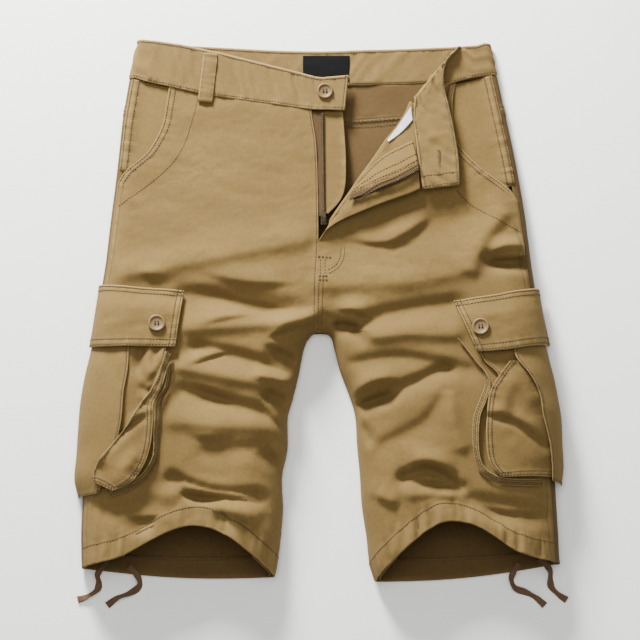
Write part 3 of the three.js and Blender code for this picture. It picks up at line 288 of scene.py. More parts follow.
backCreases = [  # the same columns, for the back panels, which can only lift off the table
    (-30, -20, -80, -34, -140, -30, 2.4, 9, 0.4, 0), (-45, -70, -95, -84, -160, -76, 2.0, 8, 0.4, 0),
    (-60, -130, -120, -150, -180, -140, 2.4, 9, 0.2, 0), (-110, -184, -160, -197, -215, -190, 1.8, 8, 0, 0.3),
    (-20, 40, -75, 22, -140, 26, 1.8, 11, 0, 0), (-225, 60, -180, 40, -120, 44, 1.6, 10, 0.5, 0),
    (28, -24, 84, -40, 150, -34, 2.2, 9, 0.4, 0), (48, -84, 100, -74, 160, -88, 2.2, 8, 0.4, 0),
    (66, -140, 120, -156, 190, -146, 2.0, 9, 0.2, 0), (100, -194, 160, -184, 220, -196, 2.0, 8, 0, 0.3),
    (24, 34, 90, 44, 150, 30, 1.8, 11, 0, 0), (230, 70, 180, 52, 130, 58, 1.6, 10, 0.5, 0),
]


clothWall = 1.2
bandWall = 2.4
panelWall = 1.1
flapWall = 2.0
tapeWall = 0.8
foldHeight = 4.6
creaseFloor = foldHeight + 0.95
underFold = 5
seamGap = 0.15
legSplit = 60
farOff = 90
creaseStrength = 2.3
foldSharpening = 0.25
sideSign = {"right": -1, "left": 1}
seamInset = {"right": 3, "left": 6}
rollRadius = 3


# small maths on arrays
def lerp(a, b, t):
    return a + (b - a) * t


def smooth(v):
    t = np.clip(v, 0, 1)
    return t * t * (3 - 2 * t)


def through(table, t):  # rows of a table as one smooth curve, t from 0 to 1
    rows = np.array(table, float)
    at = np.clip(np.asarray(t, float), 0, 1) * (len(rows) - 1)
    i = np.minimum(np.floor(at).astype(int), len(rows) - 2)
    f = (at - i)[..., None]
    a, b = rows[np.maximum(i - 1, 0)], rows[i]
    c, d = rows[i + 1], rows[np.minimum(i + 2, len(rows) - 1)]
    m0, m1 = (c - a) / 2, (d - b) / 2
    near = (2 * f**3 - 3 * f**2 + 1) * b + (f**3 - 2 * f**2 + f) * m0
    return near + (3 * f**2 - 2 * f**3) * c + (f**3 - f**2) * m1


def columns(table, t):
    return np.moveaxis(through(table, t), -1, 0)


def softened(table, key, value, spread=7):  # a column read against another, its corners rounded off
    rows = np.array(sorted((r[key], r[value]) for r in table), float)
    spots = np.arange(rows[0, 0] - 60, rows[-1, 0] + 60, 2.0)
    low = (rows[1, 1] - rows[0, 1]) / (rows[1, 0] - rows[0, 0])
    high = (rows[-1, 1] - rows[-2, 1]) / (rows[-1, 0] - rows[-2, 0])
    line = np.interp(spots, rows[:, 0], rows[:, 1])
    line = np.where(spots < rows[0, 0], rows[0, 1] + low * (spots - rows[0, 0]), line)
    line = np.where(spots > rows[-1, 0], rows[-1, 1] + high * (spots - rows[-1, 0]), line)
    bell = np.exp(-((np.arange(-20, 21) / spread) ** 2))
    padded = np.pad(line, 20, mode="reflect", reflect_type="odd")
    return spots, np.convolve(padded, bell / bell.sum(), mode="valid")


puffLine = softened(puffHeight, 0, 1)
rightSideLine = softened(sideEdge, 0, 1, 5)
leftSideLine = softened(sideEdge, 0, 2, 5)
seamLine = softened(frontSeam, 0, 1, 5)


def side(name, y):
    return np.interp(y, *(rightSideLine if name == "right" else leftSideLine))


def seamAt(y):
    return np.interp(y, *seamLine)


def nearLine(x, y, line):  # distance to a line, length along it, and the way off it
    x, y = np.broadcast_arrays(np.asarray(x, float), np.asarray(y, float))
    best = np.full(x.shape, 1e9)
    along, offX, offY = np.zeros(x.shape), np.zeros(x.shape), np.zeros(x.shape)
    start = 0.0
    for (ax, ay), (bx, by) in zip(line[:-1], line[1:]):
        dx, dy = bx - ax, by - ay
        size = math.hypot(dx, dy)
        if size < 1e-6:
            continue
        t = np.clip(((x - ax) * dx + (y - ay) * dy) / size**2, 0, 1)
        ex, ey = x - ax - dx * t, y - ay - dy * t
        d = np.hypot(ex, ey)
        closer = d < best
        best = np.where(closer, d, best)
        along = np.where(closer, start + t * size, along)
        offX, offY = np.where(closer, ex, offX), np.where(closer, ey, offY)
        start += size
    return best, along / max(start, 1e-6), offX, offY


gapRows = [(r[1], r[2]) for r in reversed(rightLeg)] + [(r[1], r[2]) for r in leftLeg[1:]]
gapLine = through(gapRows, np.linspace(0, 1, 90))

latticeSeeds = np.random.default_rng(11)
lattices = [latticeSeeds.normal(0, 0.5, (64, 64)) for _ in range(12)]


def ripple(x, y, longX, longY, turn=0, seed=0):  # soft unevenness with its own length each way
    a = math.radians(turn)
    u = (x * math.cos(a) + y * math.sin(a)) / longX + 31.7 + seed * 5.3
    v = (-x * math.sin(a) + y * math.cos(a)) / longY + 17.2 + seed * 3.1
    grid = lattices[seed % 12]
    iu, iv = np.floor(u).astype(int), np.floor(v).astype(int)
    fu, fv = smooth(u - iu), smooth(v - iv)
    near = lerp(grid[iu % 64, iv % 64], grid[(iu + 1) % 64, iv % 64], fu)
    far = lerp(grid[iu % 64, (iv + 1) % 64], grid[(iu + 1) % 64, (iv + 1) % 64], fu)
    return lerp(near, far, fv)


def quarter(s):
    t = np.clip(1 - s, 0, 1)
    return np.sqrt(1 - t * t)


# the form of the upper and lower layers
def foldSum(x, y, table, hemSide=0.62, waistSide=1.2):
    total = np.zeros(np.shape(x))
    for x1, y1, x2, y2, x3, y3, high, wide, *ends in table:
        line = through([(x1, y1), (x2, y2), (x3, y3)], np.linspace(0, 1, 9))
        d, along, ex, ey = nearLine(x, y, line)
        down = (ex * 0.25 - ey) / np.maximum(d, 1e-6)
        steepness = smooth(0.5 + 0.5 * (down if high > 0 else -down))
        d = d / (wide * lerp(waistSide, hemSide, steepness))
        full = 1.0
        if ends:
            full = smooth(along / 0.45 + ends[0]) * smooth((1 - along) / 0.45 + ends[1])
        total += high * np.exp(-d * d) * full
    return total


def legGap(x, y):  # distance to the gap between the legs, and a long way off above it
    return np.where(y > legSplit, farOff, nearLine(x, y, gapLine)[0])


def shellHeight(x, y, lift=0.0, extra=0.0):
    rise = np.interp(y, *puffLine) - foldHeight + lift
    span = rise * 1.4 + 2
    out = np.where(x < 0, x - side("right", y), side("left", y) - x) + lift
    gap = legGap(x, y)
    edge, inner = quarter(out / span), quarter(gap / (rise * 1.3))
    calm = smooth(out / 30) * smooth(gap / 30)
    z = foldHeight + rise * edge * inner + foldSum(x, y, folds) * calm
    return z + extra * smooth(out / 12) * smooth(gap / 14)


def upper(x, y):
    return shellHeight(x, y)


def lower(x, y, thick=clothWall):
    gap = legGap(x, y)
    return thick / 2 + (foldHeight - thick / 2) * (1 - quarter(gap / underFold))


def inCargo(x, y):  # 1 under the cargo pockets and flaps, where the leg lies smooth
    reach = np.where(x < 0, -x - 146, x - 143)
    return smooth(reach / 10) * smooth((y + 215) / 14) * smooth((48 - y) / 14)


def frontFine(x, y):  # creases and unevenness that only show on the outside
    made = creaseStrength * foldSum(x, y, creases, 0.3, 1.35)
    made = made + foldSharpening * foldSum(x, y, folds, 0.5, 1.2)
    made = made + 1.0 * ripple(x, y, 46, 24, 12, 1) + 0.55 * ripple(x, y, 21, 11, -18, 2)
    made = made + 0.22 * ripple(x, y, 8, 5, 30, 3)
    return made * (1 - inCargo(x, y))


def upperFine(x, y):
    return shellHeight(x, y, 0.0, frontFine(x, y))


# materials
class Sum:  # a shader socket that can be used in sums
    def __init__(self, tree, socket):
        self.tree, self.socket = tree, socket

    def maths(self, operation, *others):
        values = {i: o for i, o in enumerate((self, *others))}
        return node(self.tree, "ShaderNodeMath", {"operation": operation}, values)

    def __add__(self, other):
        return self.maths("ADD", other)

    __radd__ = __add__

    def __mul__(self, other):
        return self.maths("MULTIPLY", other)

    def __sub__(self, other):
        return self.maths("SUBTRACT", other)

    def clip(self):
        return node(self.tree, "ShaderNodeClamp", {}, {0: self})

    def sine(self):
        return self.maths("SINE")


def node(tree, kind, settings=None, values=None, out=0):
    made = tree.nodes.new(kind)
    for key, value in (settings or {}).items():
        if key == "stops":
            ramp = made.color_ramp.elements
            for i, (at, colour) in enumerate(value):
                stop = ramp[i] if i < 2 else ramp.new(at)
                stop.position, stop.color = at, colour
        else:
            setattr(made, key, value)
    for key, value in (values or {}).items():
        if isinstance(value, Sum):
            tree.links.new(value.socket, made.inputs[key])
        elif value is not None:
            made.inputs[key].default_value = value
    return Sum(tree, made.outputs[out])


def toned(tree, factor, a, b):
    settings = {"data_type": "RGBA", "blend_type": "MIX"}
    return node(tree, "ShaderNodeMix", settings, {0: factor, 6: a, 7: b}, 2)


def noise(tree, place, scale, detail, roughness):
    values = {"Vector": place, "Scale": scale, "Detail": detail, "Roughness": roughness}
    return node(tree, "ShaderNodeTexNoise", {}, values)


def srgb(r, g, b):
    def line(c):
        c = c / 255
        return c / 12.92 if c <= 0.04045 else ((c + 0.055) / 1.055) ** 2.4

    return (line(r), line(g), line(b), 1)


def newMaterial(name):
    material = bpy.data.materials.new(name)
    material.use_nodes = True
    tree = material.node_tree
    tree.nodes.clear()
    shader = tree.nodes.new("ShaderNodeBsdfPrincipled")
    output = tree.nodes.new("ShaderNodeOutputMaterial")
    tree.links.new(shader.outputs[0], output.inputs[0])
    return material, tree, shader


def fabric(name, base, deep, pale, rib=0.0011, ribDepth=0.12, roughness=0.93, fuzz=0.06):
    material, tree, shader = newMaterial(name)
    uvNode = node(tree, "ShaderNodeUVMap", {"uv_map": "weave"})
    parts = tree.nodes.new("ShaderNodeSeparateXYZ")
    tree.links.new(uvNode.socket, parts.inputs[0])
    across, down = Sum(tree, parts.outputs[0]), Sum(tree, parts.outputs[1])
    place = node(tree, "ShaderNodeTexCoord", {}, {}, 3)
    wear = node(tree, "ShaderNodeAttribute", {"attribute_name": "wear"}, {}, 2)
    groove = node(tree, "ShaderNodeAttribute", {"attribute_name": "groove"}, {}, 2)
    broad = noise(tree, place, 9, 3, 0.55)
    mottled = noise(tree, place, 240, 5, 0.75)
    slubs = noise(tree, uvNode, 900, 2, 0.6)
    ribs = ((across + down) * (2 * math.pi / rib)).sine() * 0.5 + 0.5
    weft = ((across - down) * (2 * math.pi / (rib * 0.5))).sine() * 0.5 + 0.5
    tone = toned(tree, (broad * 1.6 - 0.3).clip(), base, toned(tree, 0.5, base, deep))
    tone = toned(tree, (mottled * 2.2 - 0.7).clip(), tone, toned(tree, 0.55, tone, deep))
    tone = toned(tree, (ribs * 0.14 + slubs * 0.16).clip(), tone, deep)
    worn = (wear * (0.35 + mottled * 0.9)).clip()
    tone = toned(tree, (worn * 0.34).clip(), tone, pale)
    # painted shade: the cloth is darkened along its sunk rows of stitches, where the dent would be in shade
    tone = toned(tree, (groove * 0.8).clip(), tone, deep)
    height = ribs * ribDepth + weft * ribDepth * 0.35 + slubs * 0.25 + mottled * 0.5
    bump = node(tree, "ShaderNodeBump", {}, {"Height": height, "Strength": 0.7, "Distance": 0.0008})
    tree.links.new(tone.socket, shader.inputs["Base Color"])
    tree.links.new(bump.socket, shader.inputs["Normal"])
    shader.inputs["Roughness"].default_value = roughness
    shader.inputs["Specular IOR Level"].default_value = 0.2
    shader.inputs["Sheen Weight"].default_value = fuzz
    shader.inputs["Sheen Roughness"].default_value = 0.6
    shader.inputs["Sheen Tint"].default_value = pale
    return material


def hard(name, base, deep, roughness, metallic=0.0, scratch=0.4):
    material, tree, shader = newMaterial(name)
    place = node(tree, "ShaderNodeTexCoord", {}, {}, 3)
    cloudy = noise(tree, place, 420, 4, 0.65)
    fine = noise(tree, place, 2400, 2, 0.6)
    tone = toned(tree, (cloudy * 1.4 - 0.2).clip(), base, deep)
    tree.links.new(tone.socket, shader.inputs["Base Color"])
    rough = (cloudy * scratch * 0.4 + roughness - scratch * 0.15).clip()
    tree.links.new(rough.socket, shader.inputs["Roughness"])
    bump = node(tree, "ShaderNodeBump", {}, {"Height": fine, "Strength": 0.2, "Distance": 0.0002})
    tree.links.new(bump.socket, shader.inputs["Normal"])
    shader.inputs["Metallic"].default_value = metallic
    return material


twill = fabric("twill", srgb(120, 97, 53), srgb(84, 66, 34), srgb(160, 136, 88))
twillBand = fabric("twillBand", srgb(122, 99, 56), srgb(86, 68, 36), srgb(166, 142, 94))
# a darker copy of the twill for the back panels, yokes and hem casings: painted shade for the inside of the
# garment, where little light falls
twillInside = fabric("twillInside", srgb(92, 72, 40), srgb(64, 48, 25), srgb(126, 104, 66), ribDepth=0.08)
pocketCloth = fabric(
    "pocketCloth", srgb(205, 205, 208), srgb(180, 182, 188), srgb(250, 250, 252), 0.0006, 0.05, 0.8, 0.1
)
tapeCloth = fabric("tapeCloth", srgb(84, 64, 38), srgb(58, 42, 23), srgb(110, 88, 56), 0.0012, 0.25)
cordCloth = fabric(
    "cordCloth", srgb(114, 88, 66), srgb(76, 56, 40), srgb(148, 120, 94), 0.0014, 0.5, 0.9, 0.2
)
labelCloth = fabric("labelCloth", srgb(9, 9, 9), srgb(4, 4, 4), srgb(14, 14, 14), 0.0008, 0.15, 1.0, 0.0)
threadPlain = hard("threadPlain", srgb(70, 52, 27), srgb(48, 35, 17), 0.85)
threadPale = hard("threadPale", srgb(96, 74, 40), srgb(66, 50, 25), 0.85)
buttonHorn = hard("buttonHorn", srgb(108, 82, 34), srgb(84, 61, 23), 0.55, 0, 0.3)
zipBrass = hard("zipBrass", srgb(78, 68, 54), srgb(38, 33, 26), 0.4, 0.9, 0.6)
print("materials made")


# cloth from grids of points
pieces = {}
seamThreads = {"outside": [], "inside": []}
threadLift = 0.2


def unit(v):
    return v / np.maximum(np.linalg.norm(v, axis=-1, keepdims=True), 1e-9)


def gridNormals(grid, closed=False):
    di = np.gradient(grid, axis=0)
    dj = (np.roll(grid, -1, 1) - np.roll(grid, 1, 1)) if closed else np.gradient(grid, axis=1)
    return unit(np.cross(dj, di))


def edgeReach(grid):  # how far each point is from the four edges, along the cloth
    across = np.linalg.norm(np.diff(grid, axis=1), axis=2)
    down = np.linalg.norm(np.diff(grid, axis=0), axis=2)
    zeroCol, zeroRow = np.zeros((grid.shape[0], 1)), np.zeros((1, grid.shape[1]))
    left = np.concatenate([zeroCol, np.cumsum(across, 1)], 1)
    top = np.concatenate([zeroRow, np.cumsum(down, 0)], 0)
    return {"left": left, "right": left[:, -1:] - left, "top": top, "bottom": top[-1:, :] - top}


def rowOfStitches(grid, normals, reach, edge, distance, face, lift, span=(0, 1)):
    d = reach[edge]
    lines = d if edge in ("left", "right") else d.T
    points = grid if edge in ("left", "right") else grid.transpose(1, 0, 2)
    offs = normals if edge in ("left", "right") else normals.transpose(1, 0, 2)
    found = []
    count = len(lines)
    for i in range(int(span[0] * (count - 1)), int(span[1] * (count - 1)) + 1):
        row, p, n = lines[i], points[i], offs[i]
        if row[0] > row[-1]:
            row, p, n = row[::-1], p[::-1], n[::-1]
        if distance > row[-1]:
            continue
        at = np.array([np.interp(distance, row, p[:, k]) for k in range(3)])
        way = np.array([np.interp(distance, row, n[:, k]) for k in range(3)])
        found.append(at + way * face * lift)
    return np.array(found)


# One piece of cloth. edges names its sewn edges: the rows of stitches, in mm from the edge,
# how far the folded edge stands up, how much it puckers and the length of a pucker
def cloth(name, grid, thick, material, edges=None, face=1, closed=False, worn=1.0, thread="outside"):
    grid = np.array(grid, float)
    reach = edgeReach(grid)
    normals = gridNormals(grid, closed)
    raised = np.zeros(grid.shape[:2])
    wear = np.zeros(grid.shape[:2])
    groove = np.zeros(grid.shape[:2])
    for edge, e in (edges or {}).items():
        d = reach[edge]
        along = reach["top"] if edge in ("left", "right") else reach["left"]
        rows = e.get("rows", [])
        last = max(rows) if rows else 3
        fade = e.get("fade", lambda a: 1.0)(along / np.maximum(along.max(), 1e-6))
        raised += e.get("stand", 0.35) * (1 - smooth((d - last) / 2.5)) * fade
        length = e.get("length", 9)
        seed = e.get("seed", 4)
        wave = ripple(along, d * 0.35, length * 0.5, length * 2.2, 0, seed)
        wave = wave + 0.5 * ripple(along, d * 0.5, length * 0.24, length, 0, seed + 1)
        reached = np.exp(-np.maximum(d - last, 0) / (length * 0.7))
        raised += e.get("pucker", 0.4) * wave * reached * fade
        for r in rows:
            dent = np.exp(-(((d - r) / 0.9) ** 2))
            raised -= e.get("sink", 0.25) * dent * fade
            # the same dent is kept as painted shade along the row
            groove = np.maximum(groove, dent)
        wear = np.maximum(wear, np.exp(-d / 1.3))
        middle = np.exp(-(((d - last * 0.5) / (last * 0.6 + 0.8)) ** 2))
        wear = np.maximum(wear, 0.55 * middle * (0.6 + wave))
    grid = grid + normals * (face * raised)[..., None]
    grid[..., 2] = np.maximum(grid[..., 2], thick / 2 + 0.1)
    normals = gridNormals(grid, closed)
    for edge, e in (edges or {}).items():
        for r in e.get("rows", []):
            span = e.get("span", (0, 1))
            line = rowOfStitches(grid, normals, reach, edge, r, face, thick / 2 + threadLift, span)
            if len(line) > 3:
                seamThreads[thread].append(line)
    uv = np.stack([reach["left"], reach["top"]], -1) / 1000
    build(name, grid, normals, thick, material, closed, uv, wear * worn, groove)
    pieces[name] = {"grid": grid, "normals": normals, "reach": reach}


def build(name, grid, normals, thick, material, closed, uv, wear, groove):
    rows, cols = grid.shape[:2]
    top = (grid + normals * thick / 2).reshape(-1, 3)
    under = (grid - normals * thick / 2).reshape(-1, 3)
    index = np.arange(rows * cols).reshape(rows, cols)
    nextCol = np.roll(index, -1, 1)[:, : cols if closed else cols - 1]
    here = index[:, : nextCol.shape[1]]
    quads = [np.stack([here[:-1], nextCol[:-1], nextCol[1:], here[1:]], -1).reshape(-1, 4)]
    quads.append(quads[0][:, ::-1] + rows * cols)
    if closed:
        loops = [index[0], index[-1][::-1]]
    else:
        loops = [np.concatenate([index[0, :-1], index[:-1, -1], index[-1, :0:-1], index[:0:-1, 0]])]
    outward = np.zeros(grid.shape)
    outward[0] += unit(grid[0] - grid[1])
    outward[-1] += unit(grid[-1] - grid[-2])
    if not closed:
        outward[:, 0] += unit(grid[:, 0] - grid[:, 1])
        outward[:, -1] += unit(grid[:, -1] - grid[:, -2])
    outward = unit(outward).reshape(-1, 3)
    flat = grid.reshape(-1, 3)
    rims, rimSource, start = [], [], 2 * rows * cols
    for loop in loops:
        rims.append(flat[loop] + outward[loop] * thick * 0.42)
        rimSource.append(loop)
        mid = start + np.arange(len(loop))
        after, midAfter = np.roll(loop, -1), np.roll(mid, -1)
        quads.append(np.stack([loop, mid, midAfter, after], -1))
        quads.append(np.stack([mid, loop + rows * cols, after + rows * cols, midAfter], -1))
        start += len(loop)
    source = np.concatenate([index.ravel(), index.ravel(), *rimSource])
    spots = toFrame(np.concatenate([top, under, *rims]))
    faces = np.concatenate(quads)
    mesh = bpy.data.meshes.new(name)
    mesh.from_pydata(spots.tolist(), [], faces.tolist())
    layer = mesh.uv_layers.new(name="weave")
    loopVerts = np.zeros(len(mesh.loops), int)
    mesh.loops.foreach_get("vertex_index", loopVerts)
    layer.data.foreach_set("uv", uv.reshape(-1, 2)[source][loopVerts].ravel())
    # wear, and the painted shade along the stitch rows, go to the mesh as point attributes
    for key, values in (("wear", wear), ("groove", groove)):
        attribute = mesh.attributes.new(key, "FLOAT", "POINT")
        attribute.data.foreach_set("value", values.ravel()[source].astype(np.float32))
    mesh.shade_smooth()
    mesh.materials.append(material)
    piece = bpy.data.objects.new(name, mesh)
    bpy.context.scene.collection.objects.link(piece)


def place(piece, nodes, slotName, body="shorts"):
    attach(piece, body)
    if nodes:
        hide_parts(*nodes)


def spread(count, ends=0.0):  # 0 to 1, closer together at the ends
    s = np.linspace(0, 1, count)
    return lerp(s, 0.5 - 0.5 * np.cos(math.pi * s), ends)


# front panels
def hemLift(arch, u, v):
    table = through(arch, np.linspace(0, 1, 60))
    return np.interp(u, table[:, 0], table[:, 1]) * np.power(np.clip(v, 0, 1), 1.8)


def gathered(x, y, v, seed):  # the hem is drawn up on its cord
    near = smooth((v - 0.86) / 0.12)
    return near * (1.7 * ripple(x, y, 7, 40, 0, seed) + 0.8 * ripple(x, y, 3.4, 30, 0, seed + 1))


def keptAbove(z, low):  # a rounded floor, so that a deep crease has no flat bottom
    over = z - low
    return low + 0.5 * (over + np.sqrt(over * over + 3.0))


def frontRightPoint(t, u):
    r1 = columns(mouthRight, t)
    f = np.clip(t - 1, 0, 1)
    sideY = lerp(mouthRight[-1][1], rightLeg[0][0], f)
    innerY = lerp(mouthRight[-1][3], rightLeg[0][2], f)
    r3 = columns(rightLeg, t - 2)
    sideX = np.where(t < 2, side("right", sideY), side("right", r3[0])) + seamInset["right"]
    ax = np.where(t < 1, r1[0], sideX)
    ay = np.where(t < 1, r1[1], np.where(t < 2, sideY, r3[0]))
    bx = np.where(t < 1, r1[2] - seamGap, np.where(t < 2, seamAt(innerY) - seamGap, r3[1]))
    by = np.where(t < 1, r1[3], np.where(t < 2, innerY, r3[2]))
    v = smooth((t - 2.35) / 0.65)
    sag = np.where(t < 1, -3 * np.sin(np.pi * u) * (1 - t), 0)
    x = lerp(ax, bx, u)
    y = lerp(ay, by, u) + hemLift(hemArchRight, u, v) + sag
    return x, y, v


def frontLeftPoint(t, u):
    sideY = lerp(132, leftLeg[0][0], np.clip(t, 0, 1))
    innerY = lerp(84, leftLeg[0][2], np.clip(t, 0, 1))
    r = columns(leftLeg, t - 1)
    ax = np.where(t < 1, side("left", sideY), side("left", r[0])) - seamInset["left"]
    ay = np.where(t < 1, sideY, r[0])
    bx = np.where(t < 1, seamAt(innerY) + seamGap, r[1])
    by = np.where(t < 1, innerY, r[2])
    v = smooth((t - 1.35) / 0.65)
    x = lerp(ax, bx, u)
    return x, lerp(ay, by, u) + hemLift(hemArchLeft, u, v), v


def makeFrontRight():
    t = np.concatenate([np.linspace(0, 1, 58), np.linspace(1, 2, 74)[1:], np.linspace(2, 3, 112)[1:]])
    t, u = np.broadcast_arrays(t[:, None], spread(104, 0.75)[None, :])
    x, y, v = frontRightPoint(t, u)
    z = keptAbove(upperFine(x, y) + gathered(x, y, v, 5), creaseFloor)
    grid = np.stack([x, y, z], -1)
    tuck = [grid[0] + np.array([-0.4, 5.0, -1.7]), grid[0] + np.array([-0.2, 2.4, -1.0])]
    grid = np.concatenate([np.array(tuck), grid], 0)
    mouth = {"rows": [1.8, 7.2], "span": (0, 0.25), "pucker": 0.5}
    mouth["fade"] = lambda a: 1 - smooth((a - 0.22) / 0.04)
    hem = {"rows": [20], "stand": 0.5, "pucker": 1.3, "length": 11, "seed": 6}
    seam = {"rows": [1.6], "span": (0.02, 0.5), "stand": 0.2, "pucker": 0.25, "seed": 7, "length": 12}
    cloth("frontRight", grid, clothWall, twill, {"left": mouth, "bottom": hem, "right": seam}, face=-1)


def makeFrontLeft():
    flatU = [0, 0.045, 0.13, 0.28, 0.48, 0.74, 1]
    tightU = [0, 0.04, 0.12, 0.27, 0.48, 0.72, 0.94, 0.95, 0.958, 0.966, 0.975, 0.984, 0.992, 1]
    c = np.concatenate([np.linspace(0, 1, 46), np.linspace(1, 2, 12)[1:], np.linspace(2, 3, 40)[1:]])
    columnsAt = np.where(c < 1, np.interp(c, flatU, range(7)), 0)
    columnsAt = np.where(c >= 1, np.where(c <= 2, 6 + (c - 1) * 4, 10 + (c - 2) * 3), columnsAt)
    evenU = np.linspace(0, 1, len(c))
    rows = []
    for t in np.linspace(0, 1, 62):
        gx, gy, creaseX, creaseY, flyX, flyY, lift = through(turnedFront, t)
        inX, inY = 0.83, -0.56
        radius = min(rollRadius, math.hypot(flyX - creaseX, flyY - creaseY) * 0.16)
        cx, cy = creaseX + inX * radius, creaseY + inY * radius
        flat = c <= 1
        x, y = lerp(gx, cx, c), lerp(gy, cy, c)
        z = upperFine(x, y)
        base = float(upperFine(np.array([cx]), np.array([cy]))[0])
        roll = (c > 1) & (c <= 2)
        a = np.radians(-90 + 180 * (c - 1))
        out = radius * (1 - np.cos(a))
        x = np.where(roll, creaseX + inX * out, x)
        y = np.where(roll, creaseY + inY * out, y)
        z = np.where(roll, base + radius + radius * np.sin(a), z)
        w = np.clip(c - 2, 0, 1)
        tx, ty = lerp(cx, flyX, w), lerp(cy, flyY, w)
        wrinkles = 0.9 * ripple(tx, ty, 9, 22, 35, 8) + 0.5 * ripple(tx, ty, 4, 14, 30, 9)
        tz = upper(tx, ty) + lerp(radius * 2, lift, smooth(w)) + wrinkles * smooth(w * 4) * smooth(t * 4)
        turned = c > 2
        x, y, z = np.where(turned, tx, x), np.where(turned, ty, y), np.where(turned, tz, z)
        rows.append(np.stack([x, y, z], -1))
    below = []
    for t in np.concatenate([np.linspace(0, 1, 74), np.linspace(1, 2, 112)[1:]]):
        tight = np.interp(columnsAt, range(14), tightU)
        u = lerp(tight, lerp(evenU, spread(len(c), 1), 0.6), float(smooth(t / 0.5)))
        below.append(np.stack(frontLeftPoint(np.full(u.shape, t), u), -1))
    below = np.array(below)
    x, v = below[..., 0], below[..., 2]
    slope = 0.05 * np.arange(len(below))[:, None]  # keeps each row a little below the last
    y = np.minimum.accumulate(below[..., 1] + slope) - slope
    z = keptAbove(upperFine(x, y) + gathered(x, y, v, 7), creaseFloor)
    below = np.stack([x, y, z], -1)
    join = [lerp(rows[-1], below[0], s) for s in (0.2, 0.4, 0.6, 0.8)]
    grid = np.concatenate([np.array(rows + join), below])
    mouth = {"rows": [1.8, 7.2], "span": (0, 0.24), "pucker": 0.5}
    mouth["fade"] = lambda a: 1 - smooth((a - 0.2) / 0.05)
    hem = {"rows": [20], "stand": 0.5, "pucker": 1.3, "length": 11, "seed": 9}
    cloth("frontLeft", grid, clothWall, twill, {"left": mouth, "bottom": hem}, face=1)


# back panels and yokes
def yokeSlack(x, y):  # the upper back stands off the table a little
    return 1.3 * np.clip(0.3 + ripple(x, y, 34, 30, 20, 2), 0, 2)


def backRow(name, sideY, bx, by, bow, flatSteps=44, foldSteps=8, overSteps=4):
    sign = sideSign[name]
    edge = float(side(name, sideY))
    u = np.linspace(0, 1, flatSteps)
    x = lerp(bx, edge - sign * underFold, u)
    y = lerp(by, sideY, u) - bow * np.sin(np.pi * u)
    z = lower(x, y)
    z = z + np.maximum(foldSum(x, y, backCreases, 0.6, 1.2), 0) * smooth(u * 8) * smooth((1 - u) * 6)
    slack = np.where(y > legSplit, yokeSlack(x, y) * smooth((y - legSplit) / 20), 0)
    z = z + slack * smooth((1 - u) * 4)
    angles = np.radians(np.linspace(90, 0, foldSteps + 1)[1:])
    foldX = edge - sign * underFold * (1 - np.cos(angles))
    foldZ = clothWall / 2 + (foldHeight - clothWall / 2) * (1 - np.sin(angles))
    inset = (seamInset[name] + 3.0) * np.linspace(0, 1, overSteps + 1)[1:]
    overX = edge - sign * inset
    sink = 1.5 * smooth((inset - seamInset[name] + 2) / 3)
    overZ = np.maximum(upper(overX, np.full(overX.shape, sideY)) - sink, foldHeight + 0.3)
    rest = np.full(foldSteps + overSteps, sideY)
    return np.stack([np.r_[x, foldX, overX], np.r_[y, rest], np.r_[z, foldZ, overZ]], -1)


def makeBack(name, leg):
    seam = sideSign[name] * seamGap
    rows = []
    for t in np.linspace(0, 1, 90):
        sideY = lerp(239, leg[0][0], t)
        innerY = lerp(225, leg[0][2], t**0.94)
        rows.append(backRow(name, sideY, seam, innerY, 0))
    for t in np.linspace(0, 1, 78)[1:]:
        sideAt, x, y = through(leg, t)
        bx = max(x, seam) if name == "left" else min(x, seam)
        rows.append(backRow(name, sideAt, bx, y, 5 * t * t))
    face = sideSign[name]
    edges = {
        "bottom": {"rows": [], "stand": 0.2, "pucker": 0.8, "length": 9, "seed": 3},
        "top": {"rows": [1.5, 7], "stand": 0.5, "pucker": 0.5, "seed": 5},
    }
    title = "back" + name.capitalize()
    cloth(title, rows, clothWall, twillInside, edges, face=face, thread="inside")


def makeYoke(name):
    seam = sideSign[name] * seamGap
    topSide = 272.6 if name == "right" else 276.5
    rows = []
    for t in np.linspace(0, 1, 22):
        sideY = lerp(topSide, 239.3, t)
        innerY = lerp(266.8, 225.3, t)
        rows.append(backRow(name, sideY, seam, innerY, 3.2 * (1 - t)))
    face = sideSign[name]
    edges = {"bottom": {"rows": [], "stand": 0.5, "pucker": 0.4, "seed": 6}}
    cloth("yoke" + name.capitalize(), rows, clothWall, twillInside, edges, face=face, thread="inside")


# waistband
def bandLine(topX, topY, lowX, lowY, height, u):
    x, y = lerp(topX, lowX, u), lerp(topY, lowY, u)
    drawn = 0.28 * ripple(x, y, 6, 34, -16, 3) * smooth(u * 5) * smooth((1 - u) * 5)
    return np.stack([x, y, height(x, y) + drawn], -1)


def raisedBand(x, y, lift, creased):
    return upper(x, y) + lift + creased * ripple(x, y, 26, 5.5, 12, 6)


